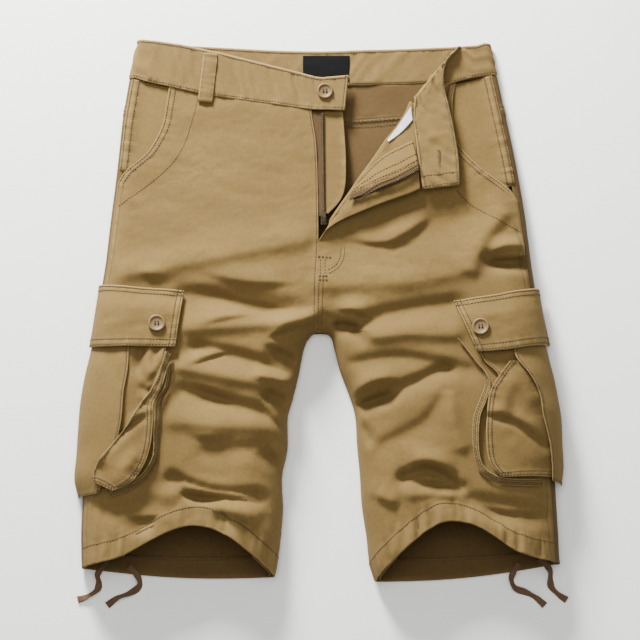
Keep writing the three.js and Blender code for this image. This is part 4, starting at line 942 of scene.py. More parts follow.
def makeBand():
    u = spread(22, 0.5)
    rows = []
    for t in np.linspace(0, 1, 120):
        r = through(bandFront, t)
        rows.append(bandLine(*r[:4], lambda x, y: upper(x, y) + r[4], u))

    def fold(name, topY, lowY):
        sign = sideSign[name]

        def at(inside, height):
            topX, lowX = side(name, topY) - sign * inside, side(name, lowY) - sign * inside
            return bandLine(topX, topY, lowX, lowY, height, u)

        over = [at(d, upper) for d in (6, 4, 2, 1, 0.5)]
        under = []
        for angle in (0, 15, 30, 45, 60, 75, 90):
            a = math.radians(angle)
            z = bandWall / 2 + (foldHeight - bandWall / 2) * (1 - math.sin(a))
            under.append(at(underFold * (1 - math.cos(a)), lambda x, y, z=z: np.full(x.shape, z)))
        return over + under

    rows += fold("right", 318, 274.6)
    flat = bandWall / 2
    for t in np.linspace(0, 1, 96):
        r = through(bandBack, t)
        rows.append(bandLine(*r, lambda x, y: flat + 1.2 * np.clip(ripple(x, y, 40, 60, 0, 4), 0, 1), u))
    rows += fold("left", 314, 278.4)[::-1]
    for t in np.linspace(0, 1, 110):
        r = through(bandTurned, t)
        creased = 0.8 * smooth((t - 0.42) * 9) * smooth((0.86 - t) * 9)
        rows.append(bandLine(*r[:4], lambda x, y: raisedBand(x, y, r[4], creased), u))
    grid = np.array(rows)
    reach = edgeReach(grid)
    along, across = reach["top"], reach["left"]
    inside = smooth(across / 5) * smooth(reach["right"] / 5)
    pucker = 1.15 * ripple(along, across, 5, 40, 24, 2) + 0.5 * ripple(along, across, 2.6, 22, 24, 6)
    grid = grid + gridNormals(grid) * (pucker * inside)[..., None]
    edge = {"rows": [2.0], "stand": 0.2, "pucker": 0.5, "length": 8, "sink": 0.35}
    ends = {"rows": [2.2], "stand": 0.2, "pucker": 0.2}
    edges = {"left": edge, "right": {**edge, "seed": 8}, "top": ends, "bottom": {**ends, "rows": [2.2, 4.4]}}
    cloth("bandCloth", grid, bandWall, twillBand, edges, face=-1)
    turned = pieces["bandCloth"]
    # the rows that are seen where the band is turned over
    for edge, distance in (("left", 2.0), ("right", 2.0), ("bottom", 2.2), ("bottom", 14.5)):
        args = turned["grid"], turned["normals"], turned["reach"], edge, distance
        seamThreads["inside"].append(rowOfStitches(*args, 1, bandWall / 2 + 0.25))


# belt loop, hip facings, the inside of the fly
def makeLoop():
    rows = []
    for t in np.linspace(0, 1, 46):
        x, y = lerp(-122, -128, t), lerp(301.6, 245.4, t)
        end = smooth(abs(t - 0.5) * 5 - 1.5)
        d = spread(14, 0.4) * 15 - 7.5
        px, py = x + d, y + d * -0.11
        z = upper(px, py) + 0.6 + bandWall / 2 + 0.8 + lerp(1.6, 0.5, end)
        rows.append(np.stack([px, py, z + 0.25 * np.cos(d / 7.5 * math.pi)], -1))
    sides = {"rows": [2.0], "stand": 0.2, "pucker": 0.35, "length": 6}
    ends = {"rows": [1.4, 2.2, 3.0], "stand": 0.1, "pucker": 0.1, "sink": 0.4}
    edges = {"left": sides, "right": {**sides, "seed": 9}, "top": ends, "bottom": ends}
    cloth("beltLoop", rows, 1.6, twillBand, edges, face=1)


def makeHipFacing(name, table):
    sign = sideSign[name]
    rows = []
    for t in np.linspace(0, 1, 52):
        outY, inX, inY = through(table, t)
        ax = float(side(name, outY)) - sign * (seamInset[name] + 0.1)
        u = spread(34, 0.5)
        x, y = lerp(ax, inX - sign * 6 * smooth(t * 6), u), lerp(outY, inY, u)
        z = upper(x, y) - 2.3 * smooth(u / 0.35) + 0.5 * ripple(x, y, 22, 26, 10, 5) * smooth(u * 4)
        rows.append(np.stack([x, y, z], -1))
    step = (rows[-1] - rows[-2]) * np.array([1, 1, 0]) + np.array([0, 0, -0.25])
    rows += [rows[-1] + step * k for k in (1, 2, 3, 4)]
    edges = {"left": {"rows": [1.8, 8], "stand": 0.6, "pucker": 0.9, "length": 9, "seed": 2}}
    face = sideSign[name]
    cloth("hipFacing" + name.capitalize(), rows, clothWall, twill, edges, face=face)


liftRows = [through(turnedFront, t) for t in np.linspace(0, 1, 90)]
liftSpots = []
for r in liftRows:
    for w in np.linspace(0, 1, 40):
        lift = lerp(rollRadius * 2, r[6], float(smooth(w)))
        liftSpots.append((lerp(r[2], r[4], w), lerp(r[3], r[5], w), lift))
liftSpots = np.array(liftSpots)


def turnedHeight(x, y):
    flatX, flatY = np.ravel(x), np.ravel(y)
    far = (liftSpots[None, :, 0] - flatX[:, None]) ** 2 + (liftSpots[None, :, 1] - flatY[:, None]) ** 2
    weights = 1 / (far + 2) ** 2
    lifts = (weights * liftSpots[None, :, 2]).sum(1) / weights.sum(1)
    return upper(x, y) + lifts.reshape(np.shape(x))


def strip(name, table, down, across, upLift, lowLift, thick, material, edges, wrinkled=0.4):
    rows = []
    for t in np.linspace(0, 1, down):
        upX, upY, lowX, lowY = through(table, t)
        u = np.linspace(0, 1, across)
        x, y = lerp(upX, lowX, u), lerp(upY, lowY, u)
        z = turnedHeight(x, y) + lerp(upLift, lowLift, u) + wrinkled * ripple(x, y, 8, 14, 30, 4)
        rows.append(np.stack([x, y, z], -1))
    cloth(name, rows, thick, material, edges, face=1, thread="inside")


def makeShield():
    rows = []
    for t in np.linspace(0, 1, 70):
        leftX, rightX, y = through(flyShieldRows, t)
        x = lerp(leftX, rightX, spread(20, 0.4))
        z = upper(x, np.full(x.shape, y)) - 3.2 + 0.5 * ripple(x, y, 16, 13, 0, 7) * smooth((x - leftX) / 6)
        rows.append(np.stack([x, np.full(x.shape, y), z], -1))
    edges = {"right": {"rows": [], "stand": 0.3, "pucker": 0.3, "length": 12}}
    cloth("flyShield", rows, 1.6, twill, edges, face=-1)


# flaps and cargo pockets
def flapPoint(table, u, v):
    topX, topY, lowX, lowY, liftAt = columns(table, u)
    x, y = lerp(topX, lowX, v), lerp(topY, lowY, v)
    return np.stack([x, y, shellHeight(x, y, lerp(3.7, liftAt, smooth(v / 0.4)))], -1)


def makeFlap(name, table, face):
    v, u = np.meshgrid(spread(44, 0.4), spread(60, 0.4), indexing="ij")
    grid = flapPoint(table, u, v)
    x, y = grid[..., 0], grid[..., 1]
    grid[..., 2] += 1.0 * ripple(x, y, 34, 22, 10, 3) + 0.4 * ripple(x, y, 16, 7, 8, 9) * smooth(v * 3)
    edge = {"rows": [1.6, 7.5], "stand": 0.35, "pucker": 0.35, "length": 11}
    top = {"rows": [1.6, 6.5], "stand": 0.5, "pucker": 0.4, "length": 9, "seed": 8}
    edges = {"bottom": edge, "right": {**edge, "rows": [1.6, 6.5], "seed": 6}, "top": top}
    cloth(name, grid, flapWall, twill, edges, face=face)


def makeSidePanel(name, title, table, face):
    sign = sideSign[name]
    rows = []
    for t in np.linspace(0, 1, 70):
        outY, outLift, inX, inY, liftAt = through(table, t)
        outX = float(side(name, outY)) + sign * outLift
        s = np.linspace(0, 1, 34)
        u = 1 - (1 - s) ** 1.5
        x, y = lerp(inX, outX, u), lerp(inY, outY, u)
        z = shellHeight(x, y, lerp(liftAt, outLift, u))
        z = z + 1.5 * ripple(x, y, 15, 30, 8, 6) * smooth((1 - u) * 5) * smooth(u * 6)
        rows.append(np.stack([x, y, z], -1))
    edges = {
        "left": {"rows": [1.8], "stand": 0.6, "pucker": 0.4, "length": 10, "seed": 2},
        "bottom": {"rows": [1.8], "stand": 0.3, "pucker": 0.4, "length": 8, "seed": 3},
    }
    cloth(title, rows, panelWall, twill, edges, face=face)


def makePanel(title, table, down, across, face, edges, unevenness=0.5, fold=None):
    rows = []
    for t in np.linspace(0, 1, down):
        outX, outY, inX, inY, outLift, liftAt = through(table, t)
        u = spread(across, 0.5)
        x, y = lerp(outX, inX, u), lerp(outY, inY, u)
        z = shellHeight(x, y, lerp(outLift, liftAt, u))
        z = z + unevenness * 2.2 * ripple(x, y, 14, 20, -25, 5) * smooth(u * 6) * smooth((1 - u) * 6)
        if fold is not None:
            z = z + foldSum(x, y, fold, 0.7, 1.1)
        rows.append(np.stack([x, y, z], -1))
    cloth(title, rows, panelWall, twill, edges, face=face)


def makeGusset(title, table, centreX, centreY, down, face):
    rows = []
    for t in np.linspace(0, 1, down):
        gx, gy, liftAt = through(table, t)
        reach = math.hypot(centreX - gx, centreY - gy)
        dx, dy = (centreX - gx) / reach, (centreY - gy) / reach
        u = np.linspace(0, 1, 14)
        x, y = gx + dx * 7 * u, gy + dy * 7 * u
        z = shellHeight(x, y, lerp(2.3, liftAt, u))
        rows.append(np.stack([x, y, z], -1))
    edges = {
        "left": {"rows": [1.4, 3.4], "stand": 0.4, "pucker": 0.4, "length": 8, "seed": 3},
        "right": {"rows": [1.4], "stand": 0.6, "pucker": 0.4, "length": 8, "seed": 7},
    }
    cloth(title, rows, panelWall, twill, edges, face=face)


# hem casings, turned up inside each leg
def makeCasing(name, leg, pointAt, first):
    rows = []
    for t in np.linspace(1, 16.3 / 18, 16):
        u = 1 - spread(96, 0.6)[:-1]
        tt = np.full(u.shape, first + t)
        x, y, v = pointAt(tt, u)
        x = x + np.where(u > 0.9, sideSign[name] * 1.6, 0)
        z = np.maximum(upper(x, y), creaseFloor)
        over = np.stack([x, y, z], -1)
        sideAt, bx, by = through(leg, t)
        back = backRow(name, sideAt, bx, by, 5 * t * t, 50, 10, 0)
        rows.append(np.concatenate([over, back[::-1][1:-1]], 0))
    grid = np.array(rows)
    normals = gridNormals(grid, True)
    sign = -1 if normals[0][5][2] > 0 else 1
    reach = edgeReach(grid)
    around, down = reach["left"], reach["top"]
    pucker = 0.8 * ripple(around, down, 5.5, 30, 0, 4) + 0.4 * ripple(around, down, 2.6, 20, 0, 8)
    grid = grid + normals * (sign * 2.2 + 0.6 * pucker)[..., None]
    edges = {
        "bottom": {"rows": [1.6], "stand": 0.2, "pucker": 0.3, "length": 8},
        "top": {"rows": [], "stand": 0.0, "pucker": 0.3, "length": 8},
    }
    title = "hemCasing" + name.capitalize()
    cloth(title, grid, 1.0, twillInside, edges, face=sign, closed=True, thread="inside")


# putting the garment together
garment = {}


def titled(name):  # one_word_name as oneWordName
    first, *others = name.split("_")
    return first + "".join(w.capitalize() for w in others)


def keep(name, nodes, slotName):
    piece = bpy.data.objects[name]
    place(piece, nodes, slotName)
    garment[name] = piece


makeFrontRight()
keep("frontRight", ["front_right"], "twill")
makeFrontLeft()
keep("frontLeft", ["front_left"], "twill")
print("fronts made")
for name, leg in (("right", rightLeg), ("left", leftLeg)):
    makeBack(name, leg)
    keep("back" + name.capitalize(), ["back_" + name], "twill_inside")
for name in sideSign:
    makeYoke(name)
    keep("yoke" + name.capitalize(), ["back_yoke_" + name], "twill_inside")
print("backs made")
makeBand()
keep("bandCloth", ["waistband"], "twill_band")
makeLoop()
keep("beltLoop", ["belt_loop_right"], "twill_band")
for name, table in (("right", hipFacingRight), ("left", hipFacingLeft)):
    makeHipFacing(name, table)
    keep("hipFacing" + name.capitalize(), ["hip_facing_" + name], "twill")
makeShield()
keep("flyShield", ["fly_shield"], "twill")
overlocked = {"left": {"rows": [1.5], "stand": 0.4, "pucker": 0.5, "length": 6}}
overlocked["right"] = {"rows": [2.0, 5.0], "stand": 0.5, "pucker": 0.5, "length": 7, "seed": 7}
strip("flyFacing", flyFacingRows, 60, 24, 1.5, 6, 1.0, twill, overlocked)
keep("flyFacing", ["fly_facing"], "twill_inside")
strip("zipTapeLeft", leftTapeRows, 60, 5, 6.1, 5.6, tapeWall, tapeCloth, {}, wrinkled=0.1)
keep("zipTapeLeft", ["zip_tape_left"], "zip_tape")
strip("pocketBag", pocketBagRows, 40, 14, 1.5, 1.8, tapeWall, pocketCloth, {}, wrinkled=0.8)
keep("pocketBag", ["pocket_bag_left"], "pocketing")
tapeRight = []
for t in np.linspace(0, 1, 60):
    y = lerp(235.4, 113, t)
    x = np.linspace(float(seamAt(y)) - 1, lerp(2, 5, t), 6)
    tapeRight.append(np.stack([x, np.full(6, y), upper(x, np.full(6, y)) - 1.5], -1))
cloth("zipTapeRight", tapeRight, tapeWall, tapeCloth, {}, face=-1)
keep("zipTapeRight", ["zip_tape_right"], "zip_tape")
print("fly made")

makeFlap("flapRight", flapRight, -1)
keep("flapRight", ["flap_right"], "twill")
makeFlap("flapLeft", flapLeft, 1)
keep("flapLeft", ["flap_left"], "twill")
makeSidePanel("right", "cargoSideRight", sidePanelRight, 1)
keep("cargoSideRight", ["cargo_side_right"], "twill")
makeSidePanel("left", "cargoSideLeft", sidePanelLeft, -1)
keep("cargoSideLeft", ["cargo_side_left"], "twill")
pleatFoldsRight = [  # the same columns as creases
    (-186, -42, -188, -62, -184, -78, 4.5, 6, 1, 0), (-196, -40, -198, -60, -196, -76, -3, 7, 1, 0),
    (-198, -80, -188, -88, -176, -84, -3, 5, 0.2, 0.2), (-172, -42, -178, -60, -190, -78, 3, 5, 1, 0.4),
]
faceFoldsRight = [
    (-188, -116, -206, -128, -228, -150, -4, 5, 0.4, 0.8),
    (-186, -112, -204, -120, -222, -138, 2.5, 6, 0.4, 0.2),
    (-226, -142, -236, -156, -234, -172, 3, 6, 0.5, 0.5),
    (-196, -158, -206, -170, -222, -178, 1.5, 8, 0.3, 0.3),
]
faceFoldsLeft = [
    (184, -116, 212, -124, 246, -148, -4, 5, 0.6, 0.6), (182, -112, 206, -114, 240, -134, 3, 7, 0.5, 0.3),
    (190, -74, 198, -92, 206, -110, 3, 6, 0.5, 0.5), (206, -70, 220, -86, 236, -104, 2, 9, 0.3, 0.3),
    (200, -140, 216, -158, 226, -172, 1.2, 9, 0.2, 0.2),
]
rolled = {"rows": [1.6], "stand": 0.7, "pucker": 0.6, "length": 9, "seed": 5}
pleatEdges = {"right": rolled}
makePanel("cargoPleatRight", pleatRight, 56, 26, -1, pleatEdges, 0.9, pleatFoldsRight)
keep("cargoPleatRight", ["cargo_pleat_right"], "twill")
makePanel("cargoPleatLeft", pleatLeft, 40, 26, 1, pleatEdges, 0.9)
keep("cargoPleatLeft", ["cargo_pleat_left"], "twill")
faceEdges = {
    "left": {"rows": [2], "stand": 1.0, "pucker": 0.9, "length": 10, "seed": 3},
    "right": {"rows": [1.8, 5.6], "stand": 0.6, "pucker": 0.5, "length": 9, "seed": 6},
    "bottom": {"rows": [1.8, 5.6], "stand": 0.5, "pucker": 0.4, "length": 9, "seed": 2},
}
makePanel("cargoFaceRight", facePanelRight, 84, 40, -1, faceEdges, 0.9, faceFoldsRight)
keep("cargoFaceRight", ["cargo_face_right"], "twill")
makePanel("cargoFaceLeft", facePanelLeft, 76, 50, 1, faceEdges, 0.9, faceFoldsLeft)
keep("cargoFaceLeft", ["cargo_face_left"], "twill")
makeGusset("cargoGussetRight", gussetRight, -222, -112, 110, 1)
keep("cargoGussetRight", ["cargo_gusset_right"], "twill")
makeGusset("cargoGussetLeft", gussetLeft, 222, -112, 130, -1)
keep("cargoGussetLeft", ["cargo_gusset_left"], "twill")
print("pockets made")
makeCasing("right", rightLeg, frontRightPoint, 2)
keep("hemCasingRight", ["hem_casing_right"], "twill_inside")
makeCasing("left", leftLeg, frontLeftPoint, 1)
keep("hemCasingLeft", ["hem_casing_left"], "twill_inside")
print("casings made")

labelPlace = {"left": -18.8, "low": 270.4, "wide": 51.6, "high": 31.2, "thick": 0.8, "lift": 3.2}
labelGrid = []
for y in np.linspace(labelPlace["low"] + labelPlace["high"], labelPlace["low"], 26):
    x = np.linspace(labelPlace["left"], labelPlace["left"] + labelPlace["wide"], 40)
    flatY = np.full(40, y)
    upward = math.sin((y - labelPlace["low"]) / labelPlace["high"] * math.pi)
    puffed = 0.5 * np.sin((x - labelPlace["left"]) / labelPlace["wide"] * math.pi) * upward
    z = labelPlace["lift"] + puffed + 0.2 * ripple(x, flatY, 9, 7, 0, 3)
    labelGrid.append(np.stack([x, flatY, z], -1))
cloth("labelPatch", labelGrid, labelPlace["thick"], labelCloth, {}, face=-1)
keep("labelPatch", ["label"], "label")


# drawcords: flat tape that twists a little and widens at its end
cordSettings = {"wide": 6.5, "thick": 1.2, "steps": 70}


def makeCord(name, route, settings):
    t = np.linspace(0, 1, settings["steps"])
    middle = through(route, t)
    along = np.gradient(middle, axis=0)
    along[:, 2] = 0
    along = unit(along)
    wide = settings["wide"] * (0.5 - 0.04 * np.sin(t * 9)) * (1 + 0.14 * smooth((t - 0.86) / 0.14))
    tilt = np.radians(48) * np.sin(t * 9 + 1) * smooth(t * 5) * smooth((1 - t) * 5)
    s = np.linspace(-1, 1, 9)
    offX = -along[:, 1:2] * s * wide[:, None] * np.cos(tilt)[:, None]
    offY = along[:, 0:1] * s * wide[:, None] * np.cos(tilt)[:, None]
    lift = s * wide[:, None] * np.sin(tilt)[:, None]
    z = middle[:, 2:3] + np.maximum(lift, -middle[:, 2:3] + 0.7) + 0.25 * (1 - s**2)
    grid = np.stack([middle[:, 0:1] + offX, middle[:, 1:2] + offY, z], -1)
    title = titled(name)
    cloth(title, grid, settings["thick"] * 0.85, cordCloth, {}, face=1, worn=0.4)
    keep(title, [name], "cord")


for name, route in cordRoutes.items():
    makeCord(name, route, cordSettings)
print("cords made")


# what repeats: stitches and zip teeth, set along lines by one kind of tree
def oneStitch(name, length, radius, material, squash=1.0):
    ring, sides = [(-0.5, 0.35), (-0.3, 1.0), (0.3, 1.0), (0.5, 0.35)], 6
    verts, faces = [], []
    for at, size in ring:
        for k in range(sides):
            a = 2 * math.pi * k / sides
            arch = 0.3 * radius * (1 - (2 * at) ** 2)
            high = math.sin(a) * radius * size * squash + arch
            verts.append((at * length, math.cos(a) * radius * size, high))
    for r in range(len(ring) - 1):
        for k in range(sides):
            n = (k + 1) % sides
            faces.append((r * sides + k, (r + 1) * sides + k, (r + 1) * sides + n, r * sides + n)[::-1])
    faces.append(tuple(range(sides))[::-1])
    faces.append(tuple((len(ring) - 1) * sides + k for k in range(sides)))
    mesh = bpy.data.meshes.new(name)
    mesh.from_pydata(verts, [], faces)
    shape = bmesh.new()
    shape.from_mesh(mesh)
    bmesh.ops.recalc_face_normals(shape, faces=shape.faces)
    shape.to_mesh(mesh)
    shape.free()
    mesh.shade_smooth()
    mesh.materials.append(material)
    return bpy.data.objects.new(name, mesh)


def alongTree(shape, material):
    tree = bpy.data.node_groups.new("setAlong", "GeometryNodeTree")
    face = tree.interface
    face.new_socket("Geometry", in_out="INPUT", socket_type="NodeSocketGeometry")
    ids = {}
    for label, start in (("Pitch", 0.003), ("Turn unevenness", 0.08), ("Size unevenness", 0.12)):
        socket = face.new_socket(label, in_out="INPUT", socket_type="NodeSocketFloat")
        socket.default_value = start
        ids[label] = socket.identifier
    socket = face.new_socket("Seed", in_out="INPUT", socket_type="NodeSocketInt")
    ids["Seed"] = socket.identifier
    face.new_socket("Geometry", in_out="OUTPUT", socket_type="NodeSocketGeometry")
    nodes, links = tree.nodes, tree.links
    source, result = nodes.new("NodeGroupInput"), nodes.new("NodeGroupOutput")
    toPoints = nodes.new("GeometryNodeCurveToPoints")
    toPoints.mode = "LENGTH"
    links.new(source.outputs["Geometry"], toPoints.inputs["Curve"])
    links.new(source.outputs["Pitch"], toPoints.inputs["Length"])
    axis = nodes.new("FunctionNodeAlignEulerToVector")
    axis.axis = "X"
    links.new(toPoints.outputs["Tangent"], axis.inputs["Vector"])
    turn = nodes.new("FunctionNodeRandomValue")
    turn.data_type = "FLOAT_VECTOR"
    negative = nodes.new("ShaderNodeMath")
    negative.operation = "MULTIPLY"
    negative.inputs[1].default_value = -1
    links.new(source.outputs["Turn unevenness"], negative.inputs[0])
    links.new(negative.outputs[0], turn.inputs[0])
    links.new(source.outputs["Turn unevenness"], turn.inputs[1])
    links.new(source.outputs["Seed"], turn.inputs["Seed"])
    rotate = nodes.new("FunctionNodeRotateEuler")
    rotate.space = "LOCAL"
    links.new(axis.outputs["Rotation"], rotate.inputs["Rotation"])
    links.new(turn.outputs[0], rotate.inputs["Rotate By"])
    size = nodes.new("FunctionNodeRandomValue")
    size.data_type = "FLOAT"
    smallest = nodes.new("ShaderNodeMath")
    smallest.operation = "SUBTRACT"
    smallest.inputs[0].default_value = 1.0
    links.new(source.outputs["Size unevenness"], smallest.inputs[1])
    links.new(smallest.outputs[0], size.inputs[2])
    size.inputs[3].default_value = 1.0
    links.new(source.outputs["Seed"], size.inputs["Seed"])
    shapeInfo = nodes.new("GeometryNodeObjectInfo")
    shapeInfo.inputs["Object"].default_value = shape
    onPoints = nodes.new("GeometryNodeInstanceOnPoints")
    links.new(toPoints.outputs["Points"], onPoints.inputs["Points"])
    links.new(shapeInfo.outputs["Geometry"], onPoints.inputs["Instance"])
    links.new(rotate.outputs["Rotation"], onPoints.inputs["Rotation"])
    links.new(size.outputs[1], onPoints.inputs["Scale"])
    real = nodes.new("GeometryNodeRealizeInstances")
    dress = nodes.new("GeometryNodeSetMaterial")
    dress.inputs["Material"].default_value = material
    links.new(onPoints.outputs["Instances"], real.inputs["Geometry"])
    links.new(real.outputs["Geometry"], dress.inputs["Geometry"])
    links.new(dress.outputs["Geometry"], result.inputs["Geometry"])
    return tree, ids


def setAlong(name, lines, shape, material, values, body="shorts"):
    curve = bpy.data.curves.new(name + "Path", "CURVE")
    curve.dimensions = "3D"
    for line in lines:
        spots = toFrame(line)
        spline = curve.splines.new("POLY")
        spline.points.add(len(spots) - 1)
        spline.points.foreach_set("co", np.c_[spots, np.ones(len(spots))].ravel())
    holder = bpy.data.objects.new(name + "Path", curve)
    bpy.context.scene.collection.objects.link(holder)
    bpy.context.scene.collection.objects.link(shape)
    tree, ids = alongTree(shape, material)
    modifier = holder.modifiers.new("setAlong", "NODES")
    modifier.node_group = tree
    for label, value in values.items():
        modifier[ids[label]] = value
    bpy.context.view_layer.update()
    evaluated = holder.evaluated_get(bpy.context.evaluated_depsgraph_get())
    mesh = bpy.data.meshes.new_from_object(evaluated)
    mesh.name = name
    piece = bpy.data.objects.new(name, mesh)
    bpy.context.scene.collection.objects.link(piece)
    bpy.data.objects.remove(holder)
    bpy.data.objects.remove(shape)
    mesh.shade_smooth()
    print(name, "has", len(mesh.polygons), "faces")
    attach(piece, body)
    return piece


def surfaceLine(points, height, lift, count=60):
    spots = through(points, np.linspace(0, 1, count))
    return np.stack([spots[:, 0], spots[:, 1], height(spots[:, 0], spots[:, 1]) + lift], -1)


lines = seamThreads["outside"]
onFront = clothWall / 2 + threadLift
frontStitches = [
    [(23, 77), (22, 66), (17, 56), (10, 51)],  # fly curve
    [(27, 77), (26, 65), (20, 53), (11, 46.5)],
    [(0.5, 62), (0.5, 52), (0.5, 43)],
    [(5.5, 62), (5.5, 52), (5.5, 43)],
    [(-1, 42), (-2, 20), (-2, -8)],  # seat seam below the fly
    [(3.5, 40), (2.5, 20), (2, -10)],
    [(-137, 250), (-139, 236), (-144, 219), (-150, 199), (-160, 180), (-174, 164), (-195, 146), (-222, 126)],
    [(152, 142), (165, 128), (190, 112), (221, 96)],
]
lines += [surfaceLine(p, upperFine, onFront, 70) for p in frontStitches]
for x1, y1, x2, y2 in ((-1, 66, 11, 65), (0, 43, 7, 42.6), (0, 38.6, 7, 38.2)):  # bar tacks
    for shift in (-0.7, 0, 0.7):
        lines.append(surfaceLine([(x1, y1 + shift), (x2, y2 + shift)], upperFine, onFront + 0.1, 24))
sewing = {"Pitch": 0.0034, "Turn unevenness": 0.09, "Size unevenness": 0.15, "Seed": 3}
stitchSize = {"length": 0.0027, "radius": 0.00048, "squash": 0.8}
shape = oneStitch("stitchShape", **stitchSize, material=threadPlain)
setAlong("topStitching", lines, shape, threadPlain, sewing)
shape = oneStitch("stitchShapeInside", **stitchSize, material=threadPale)
inside = seamThreads["inside"]
for off in (0, 4.5):
    besideTape = [(108, 165 + off), (85, 151 + off), (65, 142 + off), (48, 132 + off)]
    inside.append(surfaceLine(besideTape, turnedHeight, 6.9))


def backInside(x, y):
    return lower(x, y) + yokeSlack(x, y)


for low, sway in ((0, 0), (1.6, 1.1), (7.5, 0)):  # the yoke seam, sewn twice and overlocked
    seamX = np.linspace(2, 150, 150 if sway else 60)
    seamY = 224.4 - low + seamX * 0.075 + sway * np.where(np.arange(len(seamX)) % 2, 1, -1)
    inside.append(np.stack([seamX, seamY, backInside(seamX, seamY) + clothWall / 2 + 0.75], -1))
for u in (0.07, 0.55, 0.8, 0.9):  # the fly facing's own rows
    upX, upY, lowX, lowY = through(flyFacingRows, np.linspace(0.02, 0.98, 70)).T
    rowX, rowY = lerp(upX, lowX, u), lerp(upY, lowY, u)
    inside.append(np.stack([rowX, rowY, turnedHeight(rowX, rowY) + lerp(1.5, 6, u) + 1.15], -1))
holeSteps = np.arange(64)
holeX = 132 + 1.3 * np.where(holeSteps % 2, 1, -1) + 0.12 * np.sin(holeSteps * 2.3)
holeY = 187 - holeSteps * 0.45
holeZ = upper(holeX, holeY) + 11.2 + bandWall / 2 + 0.5
inside.append(np.stack([holeX, holeY, holeZ], -1))  # the buttonhole, sewn from side to side
setAlong("insideStitching", inside, shape, threadPale, {**sewing, "Seed": 8})


def oneTooth(name, material):
    shape = bmesh.new()
    bmesh.ops.create_cube(shape, size=1)
    for v in shape.verts:
        v.co = Vector((v.co.x * 0.00105, v.co.y * 0.0030, v.co.z * 0.0014))
    bmesh.ops.bevel(shape, geom=shape.edges[:], offset=0.0002, segments=1, affect="EDGES")
    mesh = bpy.data.meshes.new(name)
    shape.to_mesh(mesh)
    shape.free()
    mesh.materials.append(material)
    return bpy.data.objects.new(name, mesh)


rightTeeth = []
for t in np.linspace(0, 1, 60):
    y = lerp(232, 112, t)
    x = lerp(3.1, 4.4, t)
    rightTeeth.append((x, y, float(upper(np.array([x]), np.array([y]))[0]) - 0.6))
leftTeeth = []
for t in np.linspace(0, 1, 60):
    upX, upY, lowX, lowY = through(leftTapeRows, t)
    x, y = lowX, lowY - 0.6
    leftTeeth.append((x, y, float(turnedHeight(np.array([x]), np.array([y]))[0]) + 6.2))
toothing = {"Pitch": 0.0019, "Turn unevenness": 0.03, "Size unevenness": 0.04, "Seed": 5}
shape = oneTooth("toothShape", zipBrass)
teeth = [np.array(rightTeeth), np.array(leftTeeth)]
setAlong("zipTeeth", teeth, shape, zipBrass, toothing)
print("stitches and teeth made")


# buttons, slider and pull
buttonAcross = {"waist_button": 18, "flap_button_right": 19, "flap_button_left": 19}
holeStep, holeRadius, holeDepth = 0.0017, 0.00105, 0.006


def nodeFrame(name):  # centre and outward direction of a flat round node, from its own corners
    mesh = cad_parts[name].data
    points = np.array([v.co for v in mesh.vertices])
    low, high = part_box(name)
    centre = (np.array(low) + np.array(high)) / 2
    normal = np.linalg.svd(points - points.mean(0), full_matrices=False)[2][2]
    return centre, normal * (1 if normal[2] > 0 else -1)


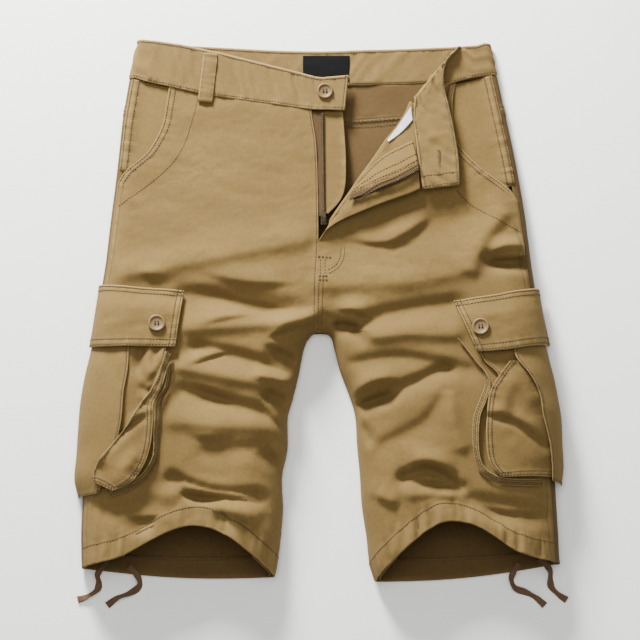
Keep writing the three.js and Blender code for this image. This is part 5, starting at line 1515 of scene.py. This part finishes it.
def makeButton(name, across):
    radius = across / 2000
    profile = [
        (0, -0.0011), (0.62, -0.0004), (0.9, -0.0009), (0.98, -0.0003), (1.0, 0.0003), (0.97, 0.0009),
        (0.9, 0.00125), (0.8, 0.0012), (0.72, 0.0008), (0.66, 0.0002), (0.55, -0.0001), (0, -0.00015),
    ]
    turned = bmesh.new()
    rings, sides = [], 56
    for share, z in profile:
        if share == 0:
            rings.append([turned.verts.new((0, 0, z))])
            continue
        ring = []
        for k in range(sides):
            a = 2 * math.pi * k / sides
            ring.append(turned.verts.new((math.cos(a) * radius * share, math.sin(a) * radius * share, z)))
        rings.append(ring)
    for low, high in zip(rings[:-1], rings[1:]):
        for k in range(sides):
            n = (k + 1) % sides
            if len(low) == 1:
                turned.faces.new((low[0], high[n], high[k]))
            elif len(high) == 1:
                turned.faces.new((low[k], low[n], high[0]))
            else:
                turned.faces.new((low[k], low[n], high[n], high[k]))
    bmesh.ops.recalc_face_normals(turned, faces=turned.faces)
    title = titled(name)
    mesh = bpy.data.meshes.new(title)
    turned.to_mesh(mesh)
    turned.free()
    body = bpy.data.objects.new(title + "Body", mesh)
    bpy.context.scene.collection.objects.link(body)
    drill = bmesh.new()
    for x, y in ((1, 1), (-1, 1), (1, -1), (-1, -1)):
        spot = Matrix.Translation((x * holeStep, y * holeStep, 0))
        bmesh.ops.create_cone(
            drill, cap_ends=True, segments=16, radius1=holeRadius, radius2=holeRadius, depth=holeDepth,
            matrix=spot,
        )
    holes = bpy.data.meshes.new("holes")
    drill.to_mesh(holes)
    drill.free()
    cutter = bpy.data.objects.new("holes", holes)
    bpy.context.scene.collection.objects.link(cutter)
    cut = body.modifiers.new("holes", "BOOLEAN")
    cut.operation, cut.object, cut.solver = "DIFFERENCE", cutter, "EXACT"
    bpy.context.view_layer.update()
    made = bpy.data.meshes.new_from_object(body.evaluated_get(bpy.context.evaluated_depsgraph_get()))
    made.name = title
    bpy.data.objects.remove(body)
    bpy.data.objects.remove(cutter)
    centre, normal = nodeFrame(name)
    turn = Vector((0, 0, 1)).rotation_difference(Vector(normal)).to_matrix().to_4x4()
    made.transform(Matrix.Translation(centre) @ turn)
    made.shade_smooth()
    made.set_sharp_from_angle(angle=math.radians(40))
    made.materials.clear()
    made.materials.append(buttonHorn)
    piece = bpy.data.objects.new(title, made)
    bpy.context.scene.collection.objects.link(piece)
    keep(title, [name], "button")
    threads = []
    for x in (-holeStep, holeStep):
        for step in (-0.0003, 0.0003):
            for k in np.linspace(-1, 1, 7):
                threads.append((x + step, k * holeStep, 0.0001 + 0.0007 * (1 - k * k)))
    ribs = np.array(threads).reshape(4, 7, 3)
    placed = []
    for rib in ribs:
        spots = np.array([(Matrix.Translation(centre) @ turn) @ Vector(p) for p in rib])
        placed.append(spots * 1000 - layoutShift)
    return placed


buttonThreads = []
for name, across in buttonAcross.items():
    buttonThreads += makeButton(name, across)
shape = oneStitch("threadShape", 0.0011, 0.0003, threadPlain, 1.0)
held = {"Pitch": 0.0007, "Turn unevenness": 0.1, "Size unevenness": 0.1, "Seed": 2}
setAlong("buttonThread", buttonThreads, shape, threadPlain, held)


def softenedCopy(node, title, bevel, material, slotName, body):
    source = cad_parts[node].data
    shape = bmesh.new()
    shape.from_mesh(source)
    bmesh.ops.remove_doubles(shape, verts=shape.verts, dist=1e-6)
    bmesh.ops.dissolve_limit(shape, angle_limit=math.radians(3), verts=shape.verts, edges=shape.edges)
    bmesh.ops.recalc_face_normals(shape, faces=shape.faces)
    bmesh.ops.bevel(shape, geom=shape.edges[:], offset=bevel, segments=3, profile=0.6, affect="EDGES")
    mesh = bpy.data.meshes.new(title)
    shape.to_mesh(mesh)
    shape.free()
    mesh.materials.append(material)
    mesh.shade_smooth()
    piece = bpy.data.objects.new(title, mesh)
    bpy.context.scene.collection.objects.link(piece)
    place(piece, [node], slotName, body)
    return piece


softenedCopy("zip_slider", "zipSlider", 0.0003, zipBrass, "zip_metal", "shorts")
softenedCopy("zip_pull_tab", "zipPullTab", 0.00025, zipBrass, "zip_metal", "zip_pull")
print("metalwork made")


for name, piece in garment.items():
    if name in pieces and not name.startswith("drawcord"):
        held = "folded" if name in ("bandCloth", "frontLeft") else "laid"
        if "Casing" in name:
            held = "gathered"


# floor and light
bpy.ops.mesh.primitive_plane_add(size=8, location=(0, 0, -0.0004))
floor = bpy.context.object
floor.name = "floor"
floorPaper, _, floorShader = newMaterial("floorPaper")
floorShader.inputs["Base Color"].default_value = (0.96, 0.96, 0.925, 1)
floorShader.inputs["Roughness"].default_value = 0.95
floor.data.materials.append(floorPaper)


def addLight(name, energy, size, spot):
    data = bpy.data.lights.new(name, "AREA")
    data.energy, data.shape, data.size = energy, "SQUARE", size
    lamp = bpy.data.objects.new(name, data)
    bpy.context.scene.collection.objects.link(lamp)
    lamp.location = spot
    lamp.rotation_mode = "QUATERNION"
    lamp.rotation_quaternion = (-Vector(spot)).to_track_quat("-Z", "Y")


addLight("window", 178, 0.45, (-0.6, 1.6, 0.68))
addLight("overhead", 20, 1.6, (-0.1, 0.1, 1.9))
world = bpy.data.worlds.new("studio")
bpy.context.scene.world = world
world.use_nodes = True
sky = world.node_tree.nodes["Background"]
sky.inputs[0].default_value = (1, 1, 1, 1)
sky.inputs[1].default_value = 0.55
